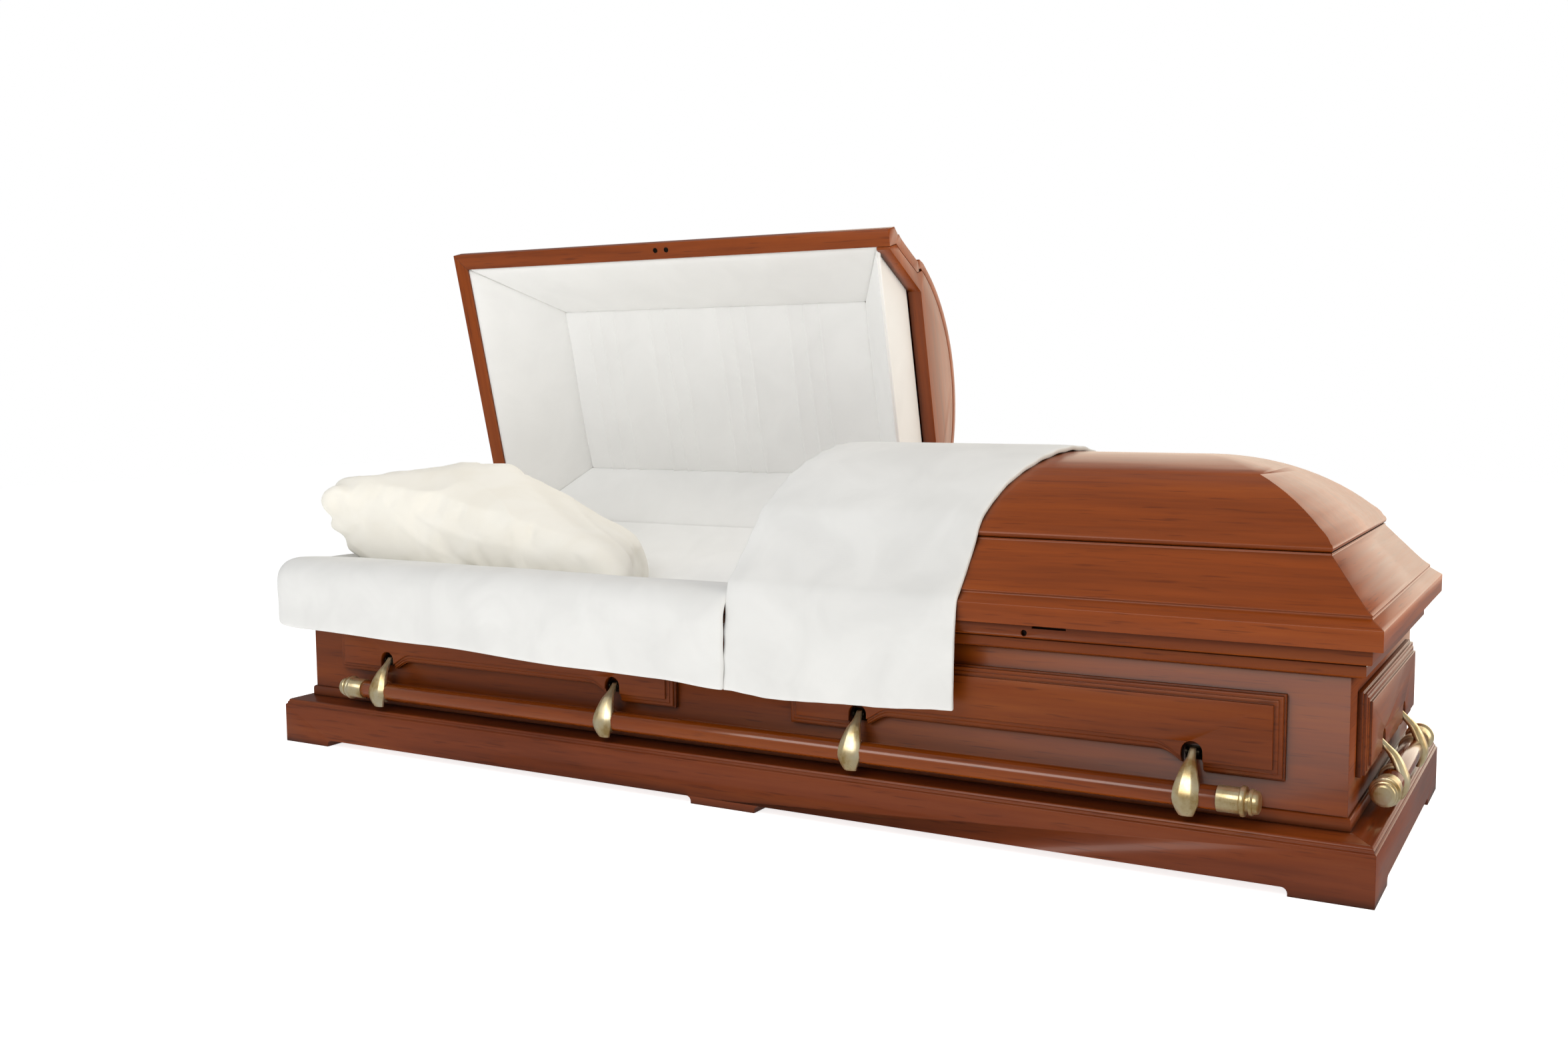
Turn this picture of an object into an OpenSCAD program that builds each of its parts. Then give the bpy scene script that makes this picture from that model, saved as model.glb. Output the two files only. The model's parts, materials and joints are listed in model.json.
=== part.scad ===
// Half-couch hardwood casket with swing-bar handles.
// +X runs to the foot end, the viewing side faces -Y, +Z is up.
// The origin is the middle of the underside of the centre bearer.

/* [Base] */
// Length over the base moulding
base_len = 2134; // [1900:2:2300]
// Width over the base moulding
base_wid = 711; // [640:1:780]
// Height of the upright face of the base moulding
base_face_h = 77; // [50:1:110]
// Height of the base moulding where the body stands on it
deck_h = 94; // [84:1:140]
// Height of the shallow gaps between the feet
foot_gap_h = 13; // [6:1:20]
// Length of a corner foot
corner_foot = 118; // [60:1:180]
// Length of the foot in the middle of a side
middle_foot = 130; // [60:1:200]

/* [Body] */
// How far the ends of the body stand in from the base
body_in_end = 46; // [38:1:56]
// How far the sides of the body stand in from the base
body_in_side = 45; // [38:1:56]
// Height of the underside of the rim
body_top = 316; // [300:1:380]
// Thickness of the body boards
board = 19; // [15:0.5:24]
// Thickness of the bottom board
bottom_t = 12; // [9:0.5:18]

/* [Rim and lids] */
// How far the lids stand in from the base at the sides
lid_in_side = 10.5; // [0:0.5:14]
// How far the lids stand in from the base at the ends
lid_in_end = 0; // [0:0.5:6]
// Height of the rim moulding
rim_h = 43.6; // [38:0.2:60]
// Gap between the rim and a closed lid
lid_gap = 0.4; // [0.3:0.1:1]
// Place of the joint between the two lids, along the length
lid_split = 57; // [-60:1:120]
// Gap between the two lids
split_gap = 0.8; // [0.5:0.1:3]
// Height of a lid from its underside to its ridge
lid_rise = 253; // [235:1:290]
// Radius of the crown across the lid
crown_r = 351; // [340:1:400]
// Thickness of the crown
crown_t = 15; // [10:0.5:18]
// Thickness of the shaped board that ends the head lid
header_t = 30; // [18:1:36]
// Angle at which the head lid stands open
head_open = 76; // [0:1:80]

/* [Handles] */
// Thickness of the raised panels
panel_t = 19; // [12:0.5:24]
// Distance from the middle of the casket to the inner arms
arm_inner = 250; // [200:1:300]
// Distance from the middle of the casket to the outer arms
arm_outer = 803; // [700:1:830]
// Distance from the middle of an end to its arms
arm_end = 110; // [90:1:130]
// Radius of the handle bars
bar_r = 18; // [14:0.5:20]
// Half length of a side bar with its caps
bar_half = 907; // [880:1:930]
// Half length of an end bar with its caps
end_bar_half = 222; // [200:1:230]
// Radius of the hinge pins of the arms
pin_r = 3; // [2:0.1:3.5]
// Width of the notches that the arms hang in
notch_w = 32; // [28:1:40]

/* [Lining] */
// Thickness of the padded lining of the body
tub_pad = 22; // [12:1:30]
// Height of the top of the mattress
bed_h = 300; // [260:1:305]
// Thickness of the mattress
mattress_t = 118; // [80:1:120]
// Thickness of the padded panels inside the head lid
lid_pad = 18; // [10:1:20]
// Depth of the pleated panel inside the head lid
recess = 130; // [100:1:140]
// Thickness of the throw and the apron
cloth_t = 9; // [4:0.5:12]

/* [Hidden] */

wood = "#7a3417";
wood_dark = "#54210f";
brass = "#a98a52";
cloth = "#efefec";
ivory = "#efece2";
steel = "#8b8b88";

eps = 0.01;
big = 4000;
over = 20;
base_x = base_len / 2;
base_y = base_wid / 2;
body_x = base_x - body_in_end;
body_y = base_y - body_in_side;
lid_x = base_x - lid_in_end;
lid_y = base_y - lid_in_side;
inner_x = body_x - board;
inner_y = body_y - board;
rim_top = body_top + rim_h;
lid_z = rim_top + lid_gap;
foot_x0 = lid_split + split_gap / 2;
head_x1 = lid_split - split_gap / 2;

// Points on an arc, as [across, up]
function arc(c, r, a0, a1, n) = [for (i = [0 : n]) let(a = a0 + (a1 - a0) * i / n)
    c + r * [cos(a), sin(a)]];
function reverse(p) = [for (i = [len(p) - 1 : -1 : 0]) p[i]];
function both_sides(p) = concat(p, reverse([for (q = p) if (abs(q[0]) > eps) [-q[0], q[1]]]));

// Base moulding, as [inwards from its face, up], and the height of the bottom board
base_in = max(body_in_side, body_in_end) + 34;
bottom_z = 24;
cove_r = foot_gap_h * 0.7;
base_profile = concat(
    [[0, 0], [0, base_face_h], [3, base_face_h + 2.5], [3, base_face_h + 5]],
    arc([9.5, base_face_h + 7], 4.5, 180, 90, 4),
    [[16, deck_h - 4.5], [24, deck_h - 2.5], [33, deck_h], [base_in, deck_h], [base_in, 0]]);

// Body boards, with a low rounded shoe
shoe_h = 20;
shoe_out = 5;
body_profile = concat(
    [[-shoe_out, deck_h]],
    arc([0, deck_h + shoe_h - 5], shoe_out, 180, 90, 5),
    [[0, body_top], [board, body_top], [board, deck_h]]);

// Rim: two rounded bands with a groove between them, as [inwards from the lid's face, up]
band_1_in = 16;
band_2_in = 25;
band_1_h = 22;
band_2_h = 17;
groove = 1.6;
rim_over_lining = 6;
rim_in = max(lid_x - body_x, lid_y - body_y) + board + rim_over_lining;
band_1_low = rim_top - band_1_h;
band_2_low = band_1_low - groove - band_2_h;
rim_profile = [
    [band_1_in, rim_top], [band_1_in, band_1_low + 2], [band_1_in + 2, band_1_low],
    [band_2_in + 3, band_1_low], [band_2_in + 3, band_1_low - groove],
    [band_2_in + 1, band_1_low - groove], [band_2_in, band_1_low - groove - 1.5], [band_2_in, band_2_low + 1],
    [band_2_in + 1, band_2_low], [band_2_in + 8, body_top], [rim_in, body_top], [rim_in, rim_top]];

// Key hole and latch slot in the front rim
key_x = 540;
key_r = 5;
key_z = rim_top - 14;
latch_x0 = 553;
latch_x1 = 608;
latch_h = 6;
lock_depth = 12;

// Moulded lower part of a lid, as [inwards from its face, above its underside]
face_h = 30.5;
rail = 34;
tier_h = 125;
tier_out = [
    [0, 0], [0, face_h], [5, 34], [11, 38.5], [15, 41.5], [17.6, 43], [18.6, 45.5], [17.8, 48], [23, 52],
    [30, 58.5], [39, 68.5], [49, 80], [57, 89.5], [64.5, 98], [75, 110.5], [85, 122], [85, tier_h]];
tier_in = [[108, tier_h], [108, 116], [92, 96], [70, 70], [50, 46], [rail, face_h], [rail, 0]];
tier_profile = concat(tier_out, tier_in);

// Crown of a lid: lip at its foot, shoulder and one broad arc
crown_in = 88;
crown_lip = [[98, 152.5], [92, 146], [88, 139], [85, 136], [83.5, 132], [84.5, 128], [crown_in, tier_h]];
crown_shoulder = 106;
crown_c = lid_rise - crown_r;

// Opening through the shaped board at the end of the head lid
mouth_low_in = 40;
mouth_high_in = 149;
mouth_h = 124;
pad_clear = 3;
fit_gap = 0.3;
foot_header_t = 18;

// Hinge line of both lids, behind the lids and just under their undersides
hinge_y = lid_y + 11;
hinge_z = rim_top - 7;
knuckle_r = 4;
hinge_pin_r = 2;
hinge_bore_r = 2.08;
leaf_t = 2;
leaf_h = 22;
knuckle_len = 19;
knuckle_gap = 0.5;
hinges_head = [-940, -505, -70];
hinges_foot = [180, 565, 950];

// Raised panels: lower edge lifted in the middle, and a stepped edge as [inset, share of the thickness]
panel_top = body_top - 31;
panel_low = 158;
panel_rise = 28;
panel_mid = (arm_inner + arm_outer) / 2;
arm_half_span = (arm_outer - arm_inner) / 2;
panel_half = arm_half_span + 132;
lift_from = arm_half_span - 54;
lift_w = 66;
end_panel_half = arm_end + 141;
panel_steps = [[0, 0.42], [3, 0.68], [9, 0.78], [16, 1]];

// Arms and bars, with the body face at 0 and everything else outwards from it
pivot_out = 9;
pivot_z = 186;
bar_out = 34;
bar_z = 128;
arm_low_z = 98;
notch_z = pivot_z + 2;
pin_clear = 0.08;
hub_r = 6;
hub_half = 7;
ear_gap = 0.4;
ear_t = 3;
lug_plate_t = 2.5;
lug_half = 13;
lug_below = 12;
lug_above = 8;
ring_r = bar_r + 3.6;
ring_half = 10;
bar_clear = 0.15;
cap_len = 60;
arm_front = [
    [9, 192], [14, 191], [24, 184], [36, 171], [47, 154], [bar_out + bar_r + 3, 139],
    [bar_out + bar_r + 5.5, bar_z], [bar_out + bar_r + 4, 113], [49, arm_low_z]];
arm_rear = [
    [39, arm_low_z], [42, 110], [40, 128], [34, 148], [30, 156], [24, 168], [16, 176], [9, 180]];
arm_widths = [[6, 193], [6.8, 179], [12, 168], [18, 147], [20.5, 131], [18.5, 114], [10.5, arm_low_z]];

// Body lining, mattress and pillow
tray_z = bed_h - mattress_t;
tray_floor_t = 18;
bed_x = inner_x - tub_pad;
bed_y = inner_y - tub_pad;
bed_gap = 3;
seat_gap = 0.3;
pillow_r = 60;
pillow_end_r = 44;

// Lining of the head lid, drawn in the closed lid's place
slope_low = 4;
pad_x0 = -lid_x + rail;
pad_x1 = head_x1 - header_t;
pad_y = lid_y - rail;
pleat_x0 = pad_x0 + 168;
pleat_x1 = pad_x1 - 102;
pleat_front = -pad_y + 135;
pleat_back = pad_y - 107;

// Apron and throw
apron_x1 = 12;
apron_drop = 130;
apron_in = 104;
apron_in_end = 60;
apron_out = 14;
apron_turn = 170;
apron_puff = 8;
apron_fold = 30;
apron_clear = 4;
throw_x0 = apron_x1 + 2;
throw_x1 = 438;
throw_low = 208;
throw_end = 72;
throw_lean = 0.72;

// Sections drawn as [across, up], run along X or along Y
module along_x(x0, x1) {
    translate([x0, 0, 0]) rotate([90, 0, 90]) linear_extrude(x1 - x0) children();
}
module along_y(y0, y1) {
    translate([0, y1, 0]) rotate([90, 0, 0]) linear_extrude(y1 - y0) children();
}
// Cylinder along X, from x0 to x1
module rod_x(r, x0, x1, y, z) {
    translate([x0, y, z]) rotate([0, 90, 0]) cylinder(r = r, h = x1 - x0, $fn = 64);
}

// Mitred lengths of a rectangular frame; a profile is [inwards from the frame's face, up]
module side_length(profile, hx, hy, s) {
    intersection() {
        along_x(-hx - over, hx + over) polygon([for (p = profile) [s * (hy - p[0]), p[1]]]);
        linear_extrude(big, center = true) polygon([
            [-hx - over, s * (hy + over)], [hx + over, s * (hy + over)], [hx - hy, 0], [hy - hx, 0]]);
    }
}
module end_length(profile, hx, hy, s) {
    intersection() {
        along_y(-hy - over, hy + over) polygon([for (p = profile) [s * (hx - p[0]), p[1]]]);
        linear_extrude(big, center = true) polygon([
            [s * (hx + over), -hy - over], [s * (hx + over), hy + over], [s * (hx - hy), 0]]);
    }
}
module keep_right(x) {
    intersection() {
        children();
        translate([x, -big / 2, -big / 2]) cube(big);
    }
}
module keep_left(x) {
    intersection() {
        children();
        translate([x - big, -big / 2, -big / 2]) cube(big);
    }
}

// A low gap under the base between two feet, with coved ends
module foot_gap(x0, x1) {
    reach = base_in + over;
    translate([x0, -reach, -1]) cube([x1 - x0, 2 * reach, foot_gap_h - cove_r + 1]);
    translate([x0 + cove_r, -reach, -1]) cube([x1 - x0 - 2 * cove_r, 2 * reach, foot_gap_h + 1]);
    for (x = [x0 + cove_r, x1 - cove_r])
        translate([x, reach, foot_gap_h - cove_r]) rotate([90, 0, 0])
            cylinder(r = cove_r, h = 2 * reach, $fn = 32);
}
module base_side(s) {
    color(wood_dark) difference() {
        side_length(base_profile, base_x, base_y, s);
        translate([0, s * base_y, 0]) {
            foot_gap(middle_foot / 2, base_x - corner_foot);
            foot_gap(-base_x + corner_foot, -middle_foot / 2);
        }
    }
}
module base_end(s) {
    color(wood_dark) difference() {
        end_length(base_profile, base_x, base_y, s);
        translate([s * base_x, 0, 0]) rotate([0, 0, 90])
            foot_gap(-base_y + corner_foot, base_y - corner_foot);
    }
}
module centre_bearer() {
    color(wood_dark) translate([-middle_foot / 2, -base_y + base_in, 0])
        cube([middle_foot, base_wid - 2 * base_in, bottom_z]);
}
module bottom_board() {
    color(wood_dark) translate([-base_x + base_in, -base_y + base_in, bottom_z])
        cube([base_len - 2 * base_in, base_wid - 2 * base_in, bottom_t]);
}

module side_board(s) {
    color(wood) side_length(body_profile, body_x, body_y, s);
}
module end_board(s) {
    color(wood) end_length(body_profile, body_x, body_y, s);
}
module rim_side(s) {
    color(wood) side_length(rim_profile, lid_x, lid_y, s);
}
module rim_front() {
    face_y = -lid_y + band_1_in;
    color(wood) difference() {
        rim_side(-1);
        translate([key_x, face_y + lock_depth, key_z]) rotate([90, 0, 0])
            cylinder(r = key_r, h = big, $fn = 48);
        translate([latch_x0, face_y - over, rim_top - latch_h])
            cube([latch_x1 - latch_x0, lock_depth + over, latch_h + 1]);
    }
}
module rim_end(s) {
    color(wood) end_length(rim_profile, lid_x, lid_y, s);
}

// Outlines of the raised panels at an inset d
function rise(x0, x1, z0, z1, n) = [for (i = [0 : n]) let(t = i / n)
    [x0 + (x1 - x0) * t, z0 + (z1 - z0) * (1 - cos(180 * t)) / 2]];
function side_outline(d) =
    let(h = panel_half - d, lo = panel_low + d, hi = lo + panel_rise, c = lift_from - d / 2)
    concat([[-h, panel_top - d], [-h, lo]], rise(-c - lift_w, -c, lo, hi, 10),
           rise(c, c + lift_w, hi, lo, 10), [[h, lo], [h, panel_top - d]]);
function end_outline(d) = let(h = end_panel_half - d)
    [[-h, panel_top - d], [-h, panel_low + d], [h, panel_low + d], [h, panel_top - d]];
side_outlines = [for (s = panel_steps) side_outline(s[0])];
end_outlines = [for (s = panel_steps) end_outline(s[0])];

// The notch that an arm hangs in: round at the top and open below
module notch() {
    depth = panel_t + 2;
    translate([0, 1, notch_z]) rotate([90, 0, 0]) cylinder(d = notch_w, h = depth, $fn = 48);
    translate([-notch_w / 2, 1 - depth, panel_low - over]) cube([notch_w, depth, notch_z - panel_low + over]);
}
// A panel on a face at y = 0 that looks towards -Y
module raised_panel(outlines, arms) {
    difference() {
        for (i = [0 : len(outlines) - 1]) {
            from = i == 0 ? 0 : panel_steps[i - 1][1] * panel_t;
            translate([0, -from, 0]) rotate([90, 0, 0])
                linear_extrude(panel_steps[i][1] * panel_t - from) polygon(outlines[i]);
        }
        for (a = arms) translate([a, 0, 0]) notch();
    }
}

// Each puts a thing drawn on the face y = 0, looking to -Y, on one face of the body
module on_front(x) {
    translate([x, -body_y, 0]) children();
}
module on_back(x) {
    translate([x, body_y, 0]) rotate([0, 0, 180]) children();
}
module on_foot_end() {
    translate([body_x, 0, 0]) rotate([0, 0, 90]) children();
}
module on_head_end() {
    translate([-body_x, 0, 0]) rotate([0, 0, -90]) children();
}
module panel_front(s) {
    color(wood) on_front(s * panel_mid) raised_panel(side_outlines, [-arm_half_span, arm_half_span]);
}
module panels_back() {
    color(wood) for (s = [-1, 1])
        on_back(s * panel_mid) raised_panel(side_outlines, [-arm_half_span, arm_half_span]);
}
module panel_end() {
    color(wood) raised_panel(end_outlines, [-arm_end, arm_end]);
}

// Lug on the body face behind a notch: plate, two ears and the pin
module lug() {
    ear_x = hub_half + ear_gap;
    translate([-lug_half, -lug_plate_t, pivot_z - lug_below])
        cube([2 * lug_half, lug_plate_t, lug_below + lug_above]);
    for (x = [-ear_x - ear_t, ear_x]) {
        translate([x, -pivot_out, pivot_z - hub_r]) cube([ear_t, pivot_out - lug_plate_t + eps, 2 * hub_r]);
        rod_x(hub_r, x, x + ear_t, -pivot_out, pivot_z);
    }
    rod_x(pin_r, -ear_x - ear_t, ear_x + ear_t, -pivot_out, pivot_z);
}
module lugs(places) {
    color(steel) for (x = places) translate([x, 0, 0]) lug();
}

// Cast arm: a leaf that widens over the bar, a ring round the bar and a hub on the pin
module arm_solid() {
    intersection() {
        along_x(-over - ring_half, over + ring_half)
            polygon([for (p = concat(arm_front, arm_rear)) [-p[0], p[1]]]);
        along_y(-big, 0) polygon(both_sides(arm_widths));
    }
    rod_x(hub_r, -hub_half, hub_half, -pivot_out, pivot_z);
    rod_x(ring_r, -ring_half, ring_half, -bar_out, bar_z);
}
module arm() {
    color(brass) difference() {
        arm_solid();
        rod_x(pin_r + pin_clear, -big, big, -pivot_out, pivot_z);
        rod_x(bar_r + bar_clear, -big, big, -bar_out, bar_z);
    }
}
module bar(half) {
    rod_x(bar_r, -half + cap_len, half - cap_len, -bar_out, bar_z);
}

// Turned cap, as [out from the bar's axis, along it]: sleeve, collar, groove, ring and button
cap_profile = [
    [0, 0], [bar_r + 1.5, 0], [bar_r + 1.5, 32], [bar_r + 4.5, 34], [bar_r + 5, 36.5], [bar_r + 4, 40],
    [bar_r - 3, 41], [bar_r - 3, 45], [bar_r + 1.5, 46], [bar_r + 2, 48.5], [bar_r + 1, 51],
    [bar_r - 1, 51.5], [bar_r - 0.5, 54], [bar_r - 1.5, 58], [bar_r - 5, cap_len], [0, cap_len]];
module caps(half) {
    for (s = [-1, 1])
        translate([s * (half - cap_len), -bar_out, bar_z]) rotate([0, s * 90, 0])
            rotate_extrude($fn = 64) polygon(cap_profile);
}
// A handle as one piece: bar, caps and arms, each arm bored for its pin only
module whole_handle(half, places) {
    color(brass) difference() {
        union() {
            bar(half);
            caps(half);
            for (x = places) translate([x, 0, 0]) arm_solid();
        }
        for (x = places) rod_x(pin_r + pin_clear, x - hub_half - 1, x + hub_half + 1, -pivot_out, pivot_z);
    }
}

// Padded tray that lines the body and carries the mattress
module body_lining() {
    color(cloth) difference() {
        translate([-inner_x, -inner_y, tray_z - tray_floor_t])
            cube([2 * inner_x, 2 * inner_y, body_top - tray_z + tray_floor_t]);
        translate([-bed_x, -bed_y, tray_z]) cube([2 * bed_x, 2 * bed_y, body_top]);
    }
}
module mattress() {
    color(ivory) translate([-bed_x + bed_gap, -bed_y + bed_gap, tray_z])
        cube([2 * (bed_x - bed_gap), 2 * (bed_y - bed_gap), mattress_t]);
}
// Deep pillow that leans over the corner of the head end and the viewing side
module pillow() {
    seat = bed_h + seat_gap + pillow_r;
    color(ivory) hull() {
        for (x = [-905, -365], y = [-172, 70])
            translate([x, y, seat]) sphere(r = pillow_r, $fn = 24);
        for (x = [-870, -700])
            translate([x, 0, seat + 136]) sphere(r = pillow_r, $fn = 24);
        translate([-510, -10, seat + 36]) sphere(r = pillow_r, $fn = 24);
        translate([-1000, -232, seat + 130]) sphere(r = pillow_end_r, $fn = 20);
    }
}

// Apron over the front rim, as [inwards from the lid's face, up], with a flap down the outside
apron_top = rim_top + apron_puff + cloth_t;
apron_seat = rim_top + seat_gap;
apron_low = rim_top - apron_drop;
function apron_section(reach) = [
    [-apron_out, apron_low], [-apron_out, rim_top - 4], [6 - apron_out, apron_top - 4],
    [16 - apron_out, apron_top], [reach - 10, apron_top], [reach, apron_top - 6], [reach, apron_seat],
    [cloth_t - apron_out, apron_seat], [cloth_t - apron_out, apron_low]];
// It turns the corner at the head end, and a fold hangs inside the front rim, clear of the end rim
module apron() {
    color(cloth) {
        along_x(-lid_x - apron_out, apron_x1)
            polygon([for (p = apron_section(apron_in)) [p[0] - lid_y, p[1]]]);
        along_y(-lid_y - apron_out, -lid_y + apron_turn)
            polygon([for (p = apron_section(apron_in_end)) [p[0] - lid_x, p[1]]]);
        translate([-lid_x + rim_in + apron_clear, -lid_y + apron_in - cloth_t, rim_top - apron_fold])
            cube([apron_x1 + lid_x - rim_in - apron_clear, cloth_t, apron_fold + seat_gap + eps]);
    }
}

// Outline of a closed lid seen along X, moved out by t: front face, slope, crown and over the ridge
function over_lid(t) = concat(
    [[-lid_y - t, face_h + 2]],
    [for (p = [[13, 41.5], [16, 50], [49, 80], [85, 124], [83.5, 136], [98, 152.5]])
        [-lid_y + p[0] - t * throw_lean, p[1] + t * throw_lean]],
    arc([0, crown_c], crown_r + t, 132, throw_end, 10));
module throw() {
    flap = throw_low - lid_z;
    color(cloth) at_lid() along_x(throw_x0, throw_x1) polygon(concat(
        [[-lid_y - cloth_t - 8, flap], [-lid_y - cloth_t - 4, -30]], over_lid(cloth_t + 1),
        reverse(over_lid(1)), [[-lid_y - 4, -30], [-lid_y - 8, flap]]));
}

// Half sections of the crown, from the ridge out to its foot
function crown_half() = concat(
    arc([0, crown_c], crown_r, 90, acos((lid_y - crown_shoulder) / crown_r), 14),
    [for (p = crown_lip) [lid_y - p[0], p[1]]]);
function crown_half_inside(t, low) = let(w = lid_y - crown_in - t, r = crown_r - t)
    concat(arc([0, crown_c], r, 90, acos(w / r), 14), [[w, low]]);
// Solid with that half section on both sides, tall at x0 and falling to x1 as the sides do
module crown_block(half, x0, x1) {
    low = half[len(half) - 1][1];
    intersection() {
        along_x(x0, x1) polygon(both_sides(half));
        along_y(-lid_y, lid_y)
            polygon(concat([[x0, low], [x0, half[0][1]]], [for (p = half) [x1 - lid_y + p[0], p[1]]]));
    }
}
module crown(x0) {
    color(wood) difference() {
        crown_block(crown_half(), x0, lid_x);
        crown_block(crown_half_inside(crown_t, tier_h - 1), x0 - 1, lid_x);
    }
}
// Section of the space inside a lid, for the boards that close its tall end
function lid_inside() =
    let(r = crown_r - crown_t - fit_gap, w = lid_y - tier_in[0][0] - fit_gap)
    both_sides(concat(
        arc([0, crown_c], r, 90, acos(w / r), 14),
        [for (p = tier_in) if (p[1] < tier_h) [lid_y - p[0] - 2 * fit_gap, p[1]]]));
function mouth(g) = both_sides([[lid_y - mouth_low_in - g, 0], [lid_y - mouth_high_in - g, mouth_h - g]]);

module at_lid() {
    translate([0, 0, lid_z]) children();
}
module foot_lid_side(s) {
    color(wood) at_lid() keep_right(foot_x0) side_length(tier_profile, lid_x, lid_y, s);
}
module foot_lid_end() {
    color(wood) at_lid() end_length(tier_profile, lid_x, lid_y, 1);
}
module foot_lid_header() {
    color(wood) at_lid() along_x(foot_x0, foot_x0 + foot_header_t) polygon(lid_inside());
}
module foot_lid_lining() {
    x0 = foot_x0 + foot_header_t;
    color(cloth) at_lid() translate([x0, -pad_y, slope_low]) cube([lid_x - rail - x0, 2 * pad_y, lid_pad]);
}
module header_pad() {
    color(cloth) at_lid() along_x(head_x1 - header_t + pad_clear, foot_x0) polygon(mouth(pad_clear));
}

// The head lid is drawn closed and then turned up about the hinge line
module open_head() {
    translate([0, hinge_y, hinge_z]) rotate([-head_open, 0, 0])
        translate([0, -hinge_y, lid_z - hinge_z]) children();
}
module head_lid_side(s) {
    color(wood) open_head() keep_left(head_x1) side_length(tier_profile, lid_x, lid_y, s);
}
module head_lid_end() {
    color(wood) open_head() end_length(tier_profile, lid_x, lid_y, -1);
}
module head_lid_crown() {
    open_head() mirror([1, 0, 0]) crown(-head_x1);
}
module head_lid_header() {
    color(wood) open_head() difference() {
        along_x(pad_x1, head_x1) polygon(lid_inside());
        translate([0, 0, -eps]) along_x(pad_x1 - 1, head_x1 + 1) polygon(mouth(0));
    }
}
// Sloping padded panels that meet in mitres round the pleated one
module slope_side(y0, y1) {
    color(cloth) open_head() intersection() {
        along_x(pad_x0, pad_x1)
            polygon([[y0, slope_low], [y1, recess], [y1, recess + lid_pad], [y0, slope_low + lid_pad]]);
        linear_extrude(big, center = true)
            polygon([[pad_x0, y0], [pad_x1, y0], [pleat_x1, y1], [pleat_x0, y1]]);
    }
}
module slope_end(x0, x1) {
    color(cloth) open_head() intersection() {
        along_y(-pad_y, pad_y)
            polygon([[x0, slope_low], [x1, recess], [x1, recess + lid_pad], [x0, slope_low + lid_pad]]);
        linear_extrude(big, center = true)
            polygon([[x0, -pad_y], [x0, pad_y], [x1, pleat_back], [x1, pleat_front]]);
    }
}
module lining_centre() {
    color(cloth) open_head() translate([pleat_x0, pleat_front, recess])
        cube([pleat_x1 - pleat_x0, pleat_back - pleat_front, lid_pad]);
}

// Butt hinges: each has five knuckles, the outer and middle ones fixed
knuckle_pitch = knuckle_len + knuckle_gap;
function knuckle_x(i) = (i - 2) * knuckle_pitch;
module knuckle(x) {
    rod_x(knuckle_r, x - knuckle_len / 2, x + knuckle_len / 2, hinge_y, hinge_z);
}
module hinge_fixed() {
    face = lid_y - band_1_in;
    reach = hinge_y - knuckle_r + 1;
    half = 2 * knuckle_pitch + knuckle_len / 2;
    color(steel) for (x = concat(hinges_head, hinges_foot)) translate([x, 0, 0]) {
        along_x(-half, half) polygon([
            [face, hinge_z - leaf_h / 2], [face + leaf_t, hinge_z - leaf_h / 2], [face + leaf_t, hinge_z - 3],
            [hinge_y - knuckle_r - fit_gap, hinge_z - 3], [hinge_y - knuckle_r - fit_gap, hinge_z - 1],
            [face, hinge_z - 1]]);
        for (i = [0, 2, 4]) {
            knuckle(knuckle_x(i));
            along_x(knuckle_x(i) - knuckle_len / 2, knuckle_x(i) + knuckle_len / 2)
                polygon([[face + leaf_t, hinge_z - 3], [reach, hinge_z - 3], [reach, hinge_z - 1],
                         [face + leaf_t, hinge_z - 1]]);
        }
        rod_x(hinge_pin_r, -half, half, hinge_y, hinge_z);
    }
}
module moving_hinge(x) {
    half = 2 * knuckle_pitch + knuckle_len / 2;
    foot = hinge_z + knuckle_r + 2;
    translate([x, 0, 0]) difference() {
        union() {
            translate([-half, lid_y, foot]) cube([2 * half, leaf_t, lid_z + leaf_h - foot]);
            for (i = [1, 3]) {
                knuckle(knuckle_x(i));
                along_x(knuckle_x(i) - knuckle_len / 2, knuckle_x(i) + knuckle_len / 2)
                    polygon([[lid_y, foot], [lid_y, foot + 4], [lid_y + leaf_t, foot + 4],
                             [hinge_y + 1, hinge_z + knuckle_r - 0.5],
                             [hinge_y - knuckle_r + 1, hinge_z + 1]]);
            }
        }
        rod_x(hinge_bore_r, -big, big, hinge_y, hinge_z);
    }
}
module hinge_foot_lid() {
    color(steel) for (x = hinges_foot) moving_hinge(x);
}
module hinge_head_lid() {
    color(steel) open_head() translate([0, 0, -lid_z]) for (x = hinges_head) moving_hinge(x);
}

side_places = [-arm_outer, -arm_inner, arm_inner, arm_outer];
end_places = [-arm_end, arm_end];

base_side(-1);  // base_front
base_side(1);  // base_back
base_end(-1);  // base_head_end
base_end(1);  // base_foot_end
centre_bearer();
bottom_board();
side_board(-1);  // side_front
side_board(1);  // side_back
end_board(-1);  // end_head
end_board(1);  // end_foot
panel_front(-1);  // panel_front_head
panel_front(1);  // panel_front_foot
panels_back();
on_head_end() panel_end();  // panel_head_end
on_foot_end() panel_end();  // panel_foot_end
rim_front();
rim_side(1);  // rim_back
rim_end(-1);  // rim_head_end
rim_end(1);  // rim_foot_end
on_front(0) lugs(side_places);  // lugs_front
on_back(0) lugs(side_places);  // lugs_back
on_head_end() lugs(end_places);  // lugs_head_end
on_foot_end() lugs(end_places);  // lugs_foot_end
body_lining();
mattress();
pillow();
apron();
hinge_fixed();
foot_lid_side(-1);  // foot_lid_front
foot_lid_side(1);  // foot_lid_back
foot_lid_end();
at_lid() crown(foot_x0);  // foot_lid_crown
foot_lid_header();
foot_lid_lining();
header_pad();
throw();
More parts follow.
